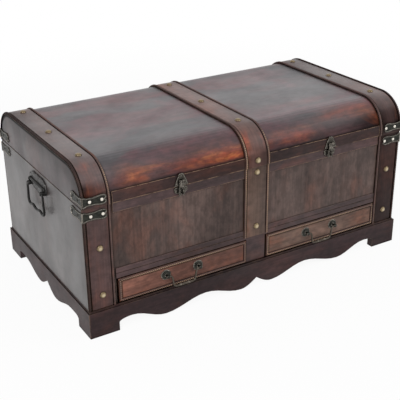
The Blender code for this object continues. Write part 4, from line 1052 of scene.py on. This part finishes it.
class CHEST_OT_drawers(bpy.types.Operator):
    """Builds the drawer fronts with a rope moulding round each field"""

    bl_idname = "chest.drawers"
    bl_label = "Drawer fronts"

    edge: length("Edge", "Radius of the front's rounded edges", 0.0006)
    field_rise: length("Field", "How far the field stands out inside the ropes", 0.0012)
    field_edge: length("Field edge", "Radius of the field's rounded edge", 0.0008)

    def execute(self, context):
        sizes = context.scene.chest_sizes
        radius = sizes.frame_rope
        for name, _side in SIDES:
            node, body = f"drawer_front_{name}", f"drawer_{name}"
            low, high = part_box(node)
            low.x += sizes.drawer_gap
            high.z -= sizes.drawer_top_gap
            low.y += radius
            bm = bmesh.new()
            rounded_box(bm, low, high, self.edge)
            middle, half = (low + high) / 2, (high - low) / 2 - Vector((1, 1, 1)) * 2.4 * radius
            outline = [(half.x * a, half.z * b) for a, b in ((-1, -1), (1, -1), (1, 1), (-1, 1))]
            place = facing((middle.x, low.y, middle.z))
            embossed_plate(bm, place, outline, self.field_rise, 0.0002, 0.0, round_edge=self.field_edge)
            dress(node, bm, f"{name} drawer wood", body, SHARP)
            inset = 1.05 * radius
            left, right, foot, top = low.x + inset, high.x - inset, low.z + inset, high.z - inset
            bm = bmesh.new()
            for z in (foot, top):
                rope(bm, straight_line((left, low.y, z), (right, low.y, z)), radius, UP)
            for x in (left, right):
                rope(bm, straight_line((x, low.y, foot), (x, low.y, top)), radius)
            finish_piece(f"drawer_rope_{name}", bm, "rope wood", body, sharp=ROPE_SHARP)
        return {"FINISHED"}


class CHEST_OT_nails(bpy.types.Operator):
    """Drives the brass dome nails into the straps"""

    bl_idname = "chest.nails"
    bl_label = "Strap nails"

    corner_heights: lengths("Corner heights", "Heights of the nails in a corner strap", (0.1018, 0.2187))
    middle_heights: lengths("Middle heights", "Heights of the nails in the middle strap", (0.1627, 0.3040))
    lid_height: length("Lid height", "Height of the middle strap's nails on the lid's front and back", 0.3345)
    top_depths: lengths("Top places", "Places of the nails over the lid", (-0.166, 0.003, 0.168))
    case_lean: length("Case lean", "How far the nails of the case's right straps sit to the left", 0.0012)
    lid_lean: length("Lid lean", "How far the nails of the lid's outer straps sit towards the middle", 0.0010)

    def execute(self, context):
        flat = context.scene.chest_sizes.strap_flat
        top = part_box("lid_skin")[1]
        over_lid = []
        for row, side in ROWS:
            nails = []
            for name, column in COLUMNS:
                x = middle_x(f"strap_{row}_{name}") - max(column, 0) * self.case_lean
                for z in self.corner_heights if column else self.middle_heights:
                    nails.append(facing((x, board_face(row, side) + side * flat, z), (-side, 0, 0)))
            self.drive(f"nails_{row}", nails, "case")
            x = middle_x("lid_strap_middle")
            over_lid.append(facing((x, side * (top.y + flat), self.lid_height), (-side, 0, 0)))
        for name, column in COLUMNS:
            x = middle_x(f"lid_strap_{name}") - column * self.lid_lean
            over_lid += [facing((x, y, top.z + flat), RIGHT, (0, 1, 0)) for y in self.top_depths]
        self.drive("nails_lid", over_lid, "lid")
        return {"FINISHED"}

    def drive(self, name, places, body):
        sizes = bpy.context.scene.chest_sizes
        bm = bmesh.new()
        for place in places:
            dome(bm, place, sizes.nail_radius, sizes.nail_rise)
        finish_piece(name, bm, "nail brass", body)


class CHEST_OT_guards(bpy.types.Operator):
    """Folds the bronze guards round the corners and tacks them down"""

    bl_idname = "chest.guards"
    bl_label = "Corner guards"

    sheet: length("Sheet", "Thickness of the guards' metal", 0.0013)
    bend_edge: length("Bend edge", "Radius of the edges of the bend between the two legs", 0.0004)
    near_tack: length("Near tack", "From the corner to the nearer tack", 0.0228)
    far_tack: length("Far tack", "From the corner to the farther tack", 0.0513)
    case_lean: length("Case lean", "How far the case's tacks sit left of their even places", 0.0022)
    lid_lean: length("Lid lean", "How far the lid's tacks sit left of their even places", 0.0036)
    end_tack_size: share("End tacks", "Size of the dark tacks on the ends, as a share of the pale ones", 0.8)
    end_tack_rise: share("End tack height", "Height of the dark tacks, as a share of the pale ones", 0.6)

    def execute(self, context):
        for part, lean in (("case", self.case_lean), ("lid", self.lid_lean)):
            for row, face in ROWS:
                for column, end in SIDES:
                    self.guard(part, lean, f"{part}_guard_{row}_{column}", face, end)
        return {"FINISHED"}

    def guard(self, part, lean, node, face, end):
        """One guard. face is -1 at the front and 1 at the back, end is -1 at the left and 1 at the right."""
        sizes = bpy.context.scene.chest_sizes
        sheet = self.sheet
        low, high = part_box(node)
        leg, half = high.x - low.x, (high.z - low.z) / 2
        corner = Vector((high.x if end > 0 else low.x, high.y if face > 0 else low.y, (low.z + high.z) / 2))
        seat_x = corner.x
        if part == "lid":
            seat_x = end * (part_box("lid_end_right")[1].x + sheet + sizes.metal_rise)
        upper = smooth_shares(GUARD_SHARES, leg, half)
        outline = upper + [(a, -h) for a, h in reversed(upper) if h > half / 1000]
        bm, pale, dark = bmesh.new(), bmesh.new(), bmesh.new()
        for across, out, on_end in (((-end, 0, 0), (0, face, 0), False), ((0, -face, 0), (end, 0, 0), True)):
            across, out = Vector(across), Vector(out)
            turn = -1 if across.cross(Vector(UP)).dot(out) < 0 else 1
            origin = Vector((seat_x if on_end else corner.x, corner.y, corner.z)) - out * sheet
            points = anticlockwise([(turn * a, h) for a, h in outline])
            place = facing(origin, across * turn)
            embossed_plate(bm, place, points, sheet + sizes.metal_rise, sizes.metal_edge, sizes.metal_rise)
            for reach in (self.near_tack, self.far_tack):
                reach += 0.0 if on_end else end * lean
                place = facing(origin + across * reach + out * sheet, across * turn)
                if on_end:
                    rise = sizes.tack_rise * self.end_tack_rise
                    dome(dark, place, sizes.tack_radius * self.end_tack_size, rise)
                else:
                    dome(pale, place, sizes.tack_radius, sizes.tack_rise)
        inner = (seat_x - end * sheet, corner.y - face * 2 * sheet, corner.z + half)
        outer = (corner.x - end * sheet / 4, corner.y - face * sheet / 4, corner.z - half)
        rounded_box(bm, inner, outer, self.bend_edge)
        fold = [corner - Vector((end, face, 0)) * sheet / 2 + Vector(UP) * half * way for way in (-1, 1)]
        tube(bm, fold, [sheet * FOLD_SHARE] * 2, 12)
        dress(node, bm, "bronze", part, SHEET_SHARP)
        finish_piece(f"tacks_{node}", pale, "pale tack", part)
        finish_piece(f"end_tacks_{node}", dark, "dark tack", part)


class CHEST_OT_hasps(bpy.types.Operator):
    """Builds the two hasps: an arched leaf on the lid, a hinged tongue and a plate with its staple"""

    bl_idname = "chest.hasps"
    bl_label = "Hasps"

    plate_thick: length("Plate", "Thickness of the leaf and the plate over their rims", 0.0019)
    leaf_rim: length("Leaf rim", "Width of the rim round the leaf", 0.0011)
    plate_rim: length("Plate rim", "Width of the rim round the plate", 0.0009)
    relief: length("Relief", "Height of their rims over the field", 0.0007)
    rivet: length("Rivet", "Radius of their rivets", 0.0017)
    rivet_rise: length("Rivet height", "Height of their rivets", 0.0012)
    knuckle: length("Knuckle", "Radius of the hinge's knuckles", 0.0026)
    pin: length("Pin", "Radius of the hinge's pin", 0.0011)
    pin_reach: length("Pin reach", "From the hinge's middle to an end of its pin", 0.0076)
    inner_reach: length("Inner knuckle", "From the hinge's middle to an end of the tongue's knuckle", 0.0029)
    outer_start: length("Outer knuckle", "From the hinge's middle to a leaf's knuckle", 0.0034)
    outer_end: length("Outer knuckle end", "From the hinge's middle to the far end of that knuckle", 0.0072)
    strip: length("Tongue", "Half the width of the tongue", 0.0080)
    strip_thick: length("Tongue sheet", "Thickness of the tongue", 0.0016)
    step_back: length("Step", "How far the tongue's fork stands back", 0.0015)
    slot: length("Slot", "Half the width of the tongue's slot", 0.0028)
    slot_rise: length("Slot height", "From the tongue's foot to the top of its slot", 0.0182)
    ring: length("Ring", "Radius of the ring on the tongue", 0.0036)
    ring_wire: length("Ring wire", "Radius of that ring's wire", 0.0009)
    staple: length("Staple", "Half the height of the staple", 0.0046)
    staple_wire: length("Staple wire", "Radius of the staple's wire", 0.0012)
    staple_below: length("Staple place", "From the top rail's upper edge down to the staple's middle", 0.0104)

    def execute(self, context):
        for name, _side in SIDES:
            pivot = pivot_of(f"tongue_{name}_swing")
            self.leaf(f"hasp_leaf_{name}", pivot)
            self.tongue(f"hasp_tongue_{name}", pivot, f"tongue_{name}")
            self.plate(f"hasp_plate_{name}", pivot)
        return {"FINISHED"}

    def riveted(self, bm, foot, shares, half, rise, rim, rivets):
        """An embossed plate that rises from its foot, with rivets at shares of its half width and height."""
        outline = mirrored(shares, half, rise)
        embossed_plate(bm, facing(foot), outline, self.plate_thick, rim, self.relief)
        for across, up in rivets:
            place = facing(foot + Vector((across * half, -self.rivet_rise, up * rise)))
            dome(bm, place, self.rivet, self.rivet_rise)

    def leaf(self, node, pivot):
        low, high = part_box(node)
        bm = bmesh.new()
        foot = Vector((pivot.x, high.y, low.z))
        rivets = ((-0.60, 0.16), (0.60, 0.16), (0.0, 0.80))
        self.riveted(bm, foot, LEAF_SHARES, (high.x - low.x) / 2, high.z - low.z, self.leaf_rim, rivets)
        radii = [self.knuckle, self.knuckle * 1.06, self.knuckle * 0.9]
        for side in (-1, 1):
            start, end = pivot.x + side * self.outer_start, pivot.x + side * self.outer_end
            tube(bm, [(x, *pivot.yz) for x in (start, (start + end) / 2, end)], radii, 16)
            rounded_box(bm, (start, *pivot.yz), (end, high.y, pivot.z + self.knuckle), radius=0.0004)
        dress(node, bm, "hasp bronze", "lid")

    def tongue(self, node, pivot, body):
        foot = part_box(node)[0].z
        clearance = 0.0004
        top = pivot.z - self.knuckle - clearance
        drop = top - foot
        arch = foot + self.slot_rise
        sheet, reach = self.strip_thick, self.inner_reach
        rows = []
        for half_share, drop_share, back_share in smooth_line(TONGUE_SHARES, 5):
            z = top - drop * drop_share
            gap = 0.0 if z > arch else self.slot * math.sqrt(min(1.0, (arch - z) / self.slot))
            rows.append((z, pivot.y + self.step_back * back_share, self.strip * half_share, gap))
        bm = bmesh.new()
        self.forked(bm, pivot.x, rows)
        radii = [self.knuckle, self.knuckle * 1.05, self.knuckle]
        tube(bm, [(pivot.x + x, *pivot.yz) for x in (-reach, 0, reach)], radii, 16)
        tube(bm, [(pivot.x + x, *pivot.yz) for x in (-self.pin_reach, self.pin_reach)], [self.pin] * 2, 10)
        lug = Vector((reach, sheet / 2, 0))
        rounded_box(bm, Vector((*pivot.xy, top - sheet)) - lug, pivot + lug, radius=0.0003)
        place = facing((pivot.x, pivot.y - sheet * 0.4, top - drop * 0.20))
        ring_tube(bm, place, self.ring, self.ring_wire)
        dome(bm, place, self.ring * 0.45, rise=0.0010)
        dress(node, bm, "hasp bronze", body)

    def forked(self, bm, centre, levels):
        """A strip whose lower part is split by a slot, from levels of height, depth, half width and half gap.

        Each level has eight points across the front and eight across the back.
        """
        rim, lip, relief = 0.0008, 0.0006, 0.0003
        rows = []
        for z, y, wide, gap in levels:
            right = (gap, gap + lip, wide - rim, wide)
            across = [-a for a in reversed(right)] + list(right)
            front = [bm.verts.new((centre + a, y - self.strip_thick / 2, z)) for a in across]
            back = [bm.verts.new((centre + a, y + self.strip_thick / 2, z)) for a in across]
            for end in (0, -1):
                front[end].co.y += relief
            rows.append((front, back, gap > 0))
        for (front_a, back_a, split_a), (front_b, back_b, split_b) in zip(rows, rows[1:]):
            split = split_a or split_b
            for i in range(7):
                if i != 3 or not split:
                    bm.faces.new((front_a[i], front_a[i + 1], front_b[i + 1], front_b[i]))
                    bm.faces.new((back_a[i + 1], back_a[i], back_b[i], back_b[i + 1]))
            for i in (0, 3, 4, 7) if split else (0, 7):
                bm.faces.new((front_a[i], front_b[i], back_b[i], back_a[i]))
        slot_top = next(i for i, row in enumerate(rows) if row[2]) - 1
        caps = [(0, i) for i in range(7)] + [(slot_top, 3)] + [(-1, i) for i in range(7) if i != 3]
        for level, i in caps:
            front, back, _split = rows[level]
            bm.faces.new((front[i], front[i + 1], back[i + 1], back[i]))
        bmesh.ops.remove_doubles(bm, verts=[v for front, back, _ in rows for v in (*front, *back)], dist=1e-6)

    def plate(self, node, pivot):
        low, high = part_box(node)
        bm = bmesh.new()
        head = Vector((pivot.x, high.y, high.z))
        rivets = ((-0.66, 0.40), (0.66, 0.40))
        half, drop = (high.x - low.x) / 2, low.z - high.z
        self.riveted(bm, head, STAPLE_PLATE_SHARES, half, drop, self.plate_rim, rivets)
        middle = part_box("top_rail")[1].z - self.staple_below
        leg = self.staple
        bend = low.y + self.staple_wire + leg
        spots = [(high.y, middle + leg), ((high.y + bend) / 2, middle + leg)]
        for step in range(9):
            turn = math.pi / 2 + math.pi * step / 8
            spots.append((bend + leg * math.cos(turn), middle + leg * math.sin(turn)))
        spots.append((high.y, middle - leg))
        tube(bm, [(pivot.x, y, z) for y, z in spots], [self.staple_wire] * len(spots), 12, RIGHT)
        dress(node, bm, "hasp bronze", "case")


class CHEST_OT_pulls(bpy.types.Operator):
    """Builds the drop bails of the drawers, with their posts and petalled rosettes"""

    bl_idname = "chest.pulls"
    bl_label = "Drawer pulls"

    wire: length("Bail", "Radius of the bail's wire", 0.0028)
    drop: length("Drop", "How far the bail hangs below its posts", 0.030)
    bead: length("Outer beads", "Radius of the two outer beads on the bail", 0.0031)
    middle_bead: length("Middle bead", "Radius of the bead between them", 0.0026)
    bead_spacing: length("Bead spacing", "Between two of the beads", 0.0110)

    def execute(self, context):
        for name, _side in SIDES:
            pivot = pivot_of(f"pull_{name}_swing")
            for end in "ab":
                self.post(f"pull_post_{name}_{end}", pivot, f"drawer_{name}")
            spacing = abs(middle_x(f"pull_post_{name}_a") - pivot.x)
            self.bail(f"pull_bail_{name}", pivot, spacing, f"pull_{name}")
        return {"FINISHED"}

    def post(self, node, pivot, body):
        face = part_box(node)[1].y
        reach = face - pivot.y
        place = facing((middle_x(node), face, pivot.z))
        bm = bmesh.new()
        lathe(bm, place, ROSETTE, sides=48, lobes=12, lobe_depth=0.07)
        lathe(bm, place, [*STEM, *((radius, reach + height) for radius, height in KNOB)])
        dress(node, bm, "bronze", body)

    def bail(self, node, pivot, spacing, body):
        """The bail, thickest in the middle of its foot, with three beads there."""
        route = bail_route(PULL_PATH_SHARES, pivot, spacing, self.drop, RIGHT)
        radii = []
        for point in route:
            away = abs(point.x - pivot.x) / spacing
            fallen = (pivot.z - point.z) / self.drop
            middle = max(0.0, fallen - 0.8) * 5 * max(0.0, 1 - away / 0.6)
            radii.append(self.wire * (0.85 + 0.35 * middle))
        bm = bmesh.new()
        tube(bm, route, radii, 14, (0, 1, 0))
        for column, radius in ((-1, self.bead), (0, self.middle_bead), (1, self.bead)):
            centre = pivot + Vector((column * self.bead_spacing, 0, 0.0004 - self.drop))
            profile = [(radius * a, radius * b) for a, b in BEAD_SHARES]
            lathe(bm, facing(centre, (0, 1, 0)), profile, 14)
        dress(node, bm, "pull bronze", body, SHARP)


class CHEST_OT_end_handles(bpy.types.Operator):
    """Builds the iron drop handles on the ends: a shaped plate, a roll with knobs, two ears and the bail"""

    bl_idname = "chest.end_handles"
    bl_label = "End handles"

    spacing: length("Ear spacing", "Between the middles of the two ears", 0.080)
    drop: length("Drop", "How far the bail hangs below its ears", 0.055)
    wire: length("Bail", "Radius of the bail's wire", 0.0030)
    roll_half: length("Roll", "Half the length of the roll, without its tips", 0.0455)
    roll_rise: length("Roll height", "How far the roll lies over the bail's axis", 0.0095)
    roll_out: length("Roll depth", "From the end board to the roll's axis", 0.0046)

    def execute(self, context):
        for name, side in SIDES:
            pivot = pivot_of(f"handle_{name}_swing")
            self.plate(name, side, pivot)
            self.bail(f"handle_bail_{name}", pivot, f"handle_{name}")
        return {"FINISHED"}

    def plate(self, name, side, pivot):
        node = f"handle_plate_{name}"
        low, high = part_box(node)
        face = low.x if side > 0 else high.x
        half, rise = (high.y - low.y) / 2, high.z - pivot.z
        right = (0, side, 0)
        bm = bmesh.new()
        outline = mirrored(HANDLE_PLATE_SHARES, half, rise)
        place = facing((face, 0, pivot.z), right)
        embossed_plate(bm, place, outline, thick=0.0030, rim=0.0015, drop=0.0009, crown=0.0012)
        dress(node, bm, "worn iron", "case")
        bm = bmesh.new()
        x, z = face + side * self.roll_out, pivot.z + self.roll_rise
        tube(bm, [(x, self.roll_half * share, z) for share, _ in ROLL], [radius for _, radius in ROLL], 18)
        ear_stops = (face, pivot.x - side * 0.004, pivot.x, pivot.x + side * 0.0042)
        for end in (-1, 1):
            y = end * self.spacing / 2
            tube(bm, [(x, y, pivot.z) for x in ear_stops], EAR_RADII, 18)
            nail = (face + side * 0.0022, end * half * 0.62, pivot.z + 0.55 * rise)
            dome(bm, facing(nail, right), radius=0.0030, rise=0.0018)
        finish_piece(f"handle_roll_{name}", bm, "black iron", "case", sharp=FITTING_SHARP)

    def bail(self, node, pivot, body):
        """The bail, a little thicker towards its foot."""
        route = bail_route(HANDLE_PATH_SHARES, pivot, self.spacing / 2, self.drop, (0, 1, 0))
        fallen = [max(0.0, (pivot.z - point.z) / self.drop) for point in route]
        bm = bmesh.new()
        tube(bm, route, [self.wire * (0.86 + 0.22 * share) for share in fallen], 14, RIGHT)
        dress(node, bm, "black iron", body, SHARP)


class CHEST_OT_hinges(bpy.types.Operator):
    """Finishes the two hinges at the back and drives their screws"""

    bl_idname = "chest.hinges"
    bl_label = "Hinges"

    inset: length("Screw inset", "From a leaf's free edge to its screws", 0.011)
    seat: length("Screw seat", "From the board's face to a screw's seat", 0.0018)

    def execute(self, context):
        for name, _side in SIDES:
            for body, board in (("case", "back_board"), ("lid", "lid_skin")):
                node = f"hinge_{body}_leaf_{name}"
                repaint(node, "hinge brass")
                low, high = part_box(node)
                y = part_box(board)[1].y + self.seat
                z = low.z + self.inset if body == "case" else high.z - self.inset
                bm = bmesh.new()
                for share in (0.18, 0.5, 0.82):
                    lathe(bm, facing((low.x + (high.x - low.x) * share, y, z), (-1, 0, 0)), SCREW, 18)
                finish_piece(f"screws_{body}_{name}", bm, "hinge brass", body)
        return {"FINISHED"}


class CHEST_OT_stage(bpy.types.Operator):
    """Sets up the floor, the lamps, the white surround and the camera"""

    bl_idname = "chest.stage"
    bl_label = "Studio"

    def execute(self, context):
        studio = context.scene.chest_studio
        self.floor(studio)
        self.surround(studio)
        self.lamp("key lamp", studio.key_place, studio.key_power, studio.key_size)
        self.lamp("fill lamp", studio.fill_place, studio.fill_power, studio.fill_size)
        self.camera(studio)
        context.scene.view_settings.view_transform = "Standard"
        return {"FINISHED"}

    def place(self, name, data):
        """Links a new object that holds the data, and returns it."""
        obj = bpy.data.objects.new(name, data)
        bpy.context.scene.collection.objects.link(obj)
        return obj

    def seen(self, g):
        """1 for rays from the camera, and for those that a mirror or glass sends on."""
        path = g.add("LightPath").outputs
        seen = g.math("MAXIMUM", path["Is Camera Ray"], path["Is Glossy Ray"])
        return g.math("MAXIMUM", seen, path["Is Transmission Ray"])

    def floor(self, studio):
        bm = bmesh.new()
        bmesh.ops.create_circle(bm, cap_ends=True, segments=96, radius=studio.floor_radius)
        mesh = bpy.data.meshes.new("floor")
        bm.to_mesh(mesh)
        bm.free()
        g = Graph(bpy.data.materials.new("floor"))
        position = g.add("NewGeometry").outputs["Position"]
        reach = g.vector("LENGTH", position, result="Value")
        white = g.ramp(reach, studio.near_floor, studio.far_floor, 0.93, 1.0)
        matt = g.add("BsdfDiffuse", {"Color": (0.9, 0.9, 0.9)})
        glow = g.add("Emission", {"Color": (1.0, 1.0, 1.0), "Strength": 1.0})
        factor = g.times(white, self.seen(g))
        mixed = g.add("MixShader", {0: factor, 1: matt.outputs[0], 2: glow.outputs[0]})
        mesh.materials.append(g.finish(mixed))
        self.place("floor", mesh)

    def surround(self, studio):
        world = bpy.data.worlds.new("surround")
        bpy.context.scene.world = world
        g = Graph(world)
        light = g.add("Background", {"Color": (1.0, 1.0, 1.0), "Strength": studio.world_level})
        white = g.add("Background", {"Color": (1.0, 1.0, 1.0), "Strength": 1.0})
        mixed = g.add("MixShader", {0: self.seen(g), 1: light.outputs[0], 2: white.outputs[0]})
        g.finish(mixed, "OutputWorld")

    def lamp(self, name, place, power, size):
        """A square lamp that looks at the middle of the chest."""
        data = bpy.data.lights.new(name, "AREA")
        data.energy = power
        data.size = size
        lamp = self.place(name, data)
        lamp.location = place
        middle = (cad_box[0] + cad_box[1]) / 2
        lamp.rotation_euler = (middle - Vector(place)).to_track_quat("-Z", "Y").to_euler()

    def camera(self, studio):
        yaw, pitch, roll = studio.yaw, studio.pitch, studio.roll
        look = Vector((math.sin(yaw) * math.cos(pitch), math.cos(yaw) * math.cos(pitch), -math.sin(pitch)))
        right = Vector((math.cos(yaw), -math.sin(yaw), 0))
        up = right.cross(look)
        rolled_right = right * math.cos(roll) + up * math.sin(roll)
        rolled_up = up * math.cos(roll) - right * math.sin(roll)
        data = bpy.data.cameras.new("camera")
        data.lens = studio.lens
        data.sensor_width = 36.0
        camera = self.place("camera", data)
        turn = Matrix((rolled_right, rolled_up, -look)).transposed().to_4x4()
        camera.matrix_world = Matrix.Translation(Vector(studio.eye)) @ turn
        bpy.context.scene.camera = camera


class CHEST_PT_panel(bpy.types.Panel):
    """Lists the settings, and the steps in the order in which they run"""

    bl_label = "Storage chest"
    bl_idname = "CHEST_PT_panel"
    bl_space_type = "VIEW_3D"
    bl_region_type = "UI"
    bl_category = "Chest"

    def draw(self, context):
        for attribute, group in GROUPS:
            box = self.layout.box()
            for name in group.__annotations__:
                box.prop(getattr(context.scene, attribute), name)
        for step in STEPS:
            self.layout.operator(step.bl_idname)


STEPS = (
    CHEST_OT_stage,
    CHEST_OT_boards,
    CHEST_OT_straps,
    CHEST_OT_drawers,
    CHEST_OT_nails,
    CHEST_OT_guards,
    CHEST_OT_hasps,
    CHEST_OT_pulls,
    CHEST_OT_end_handles,
    CHEST_OT_hinges,
)
GROUPS = (("chest_sizes", ChestSizes), ("chest_colours", ChestColours), ("chest_studio", ChestStudio))


def register():
    for name, group in GROUPS:
        bpy.utils.register_class(group)
        setattr(bpy.types.Scene, name, bpy.props.PointerProperty(type=group))
    for item in (*STEPS, CHEST_PT_panel):
        bpy.utils.register_class(item)


def unregister():
    for item in reversed((*STEPS, CHEST_PT_panel)):
        bpy.utils.unregister_class(item)
    for name, group in reversed(GROUPS):
        delattr(bpy.types.Scene, name)
        bpy.utils.unregister_class(group)


def main():
    register()
    for obj in [o for o in bpy.context.scene.objects if o.type in ("CAMERA", "LIGHT") or o.name == "Cube"]:
        bpy.data.objects.remove(obj)
    bpy.ops.chest.stage()
    bpy.ops.chest.boards()
    bpy.ops.chest.straps()
    bpy.ops.chest.drawers()
    bpy.ops.chest.nails()
    bpy.ops.chest.guards()
    bpy.ops.chest.hasps()
    bpy.ops.chest.pulls()
    bpy.ops.chest.end_handles()
    bpy.ops.chest.hinges()


if __name__ == "__main__":
    main()
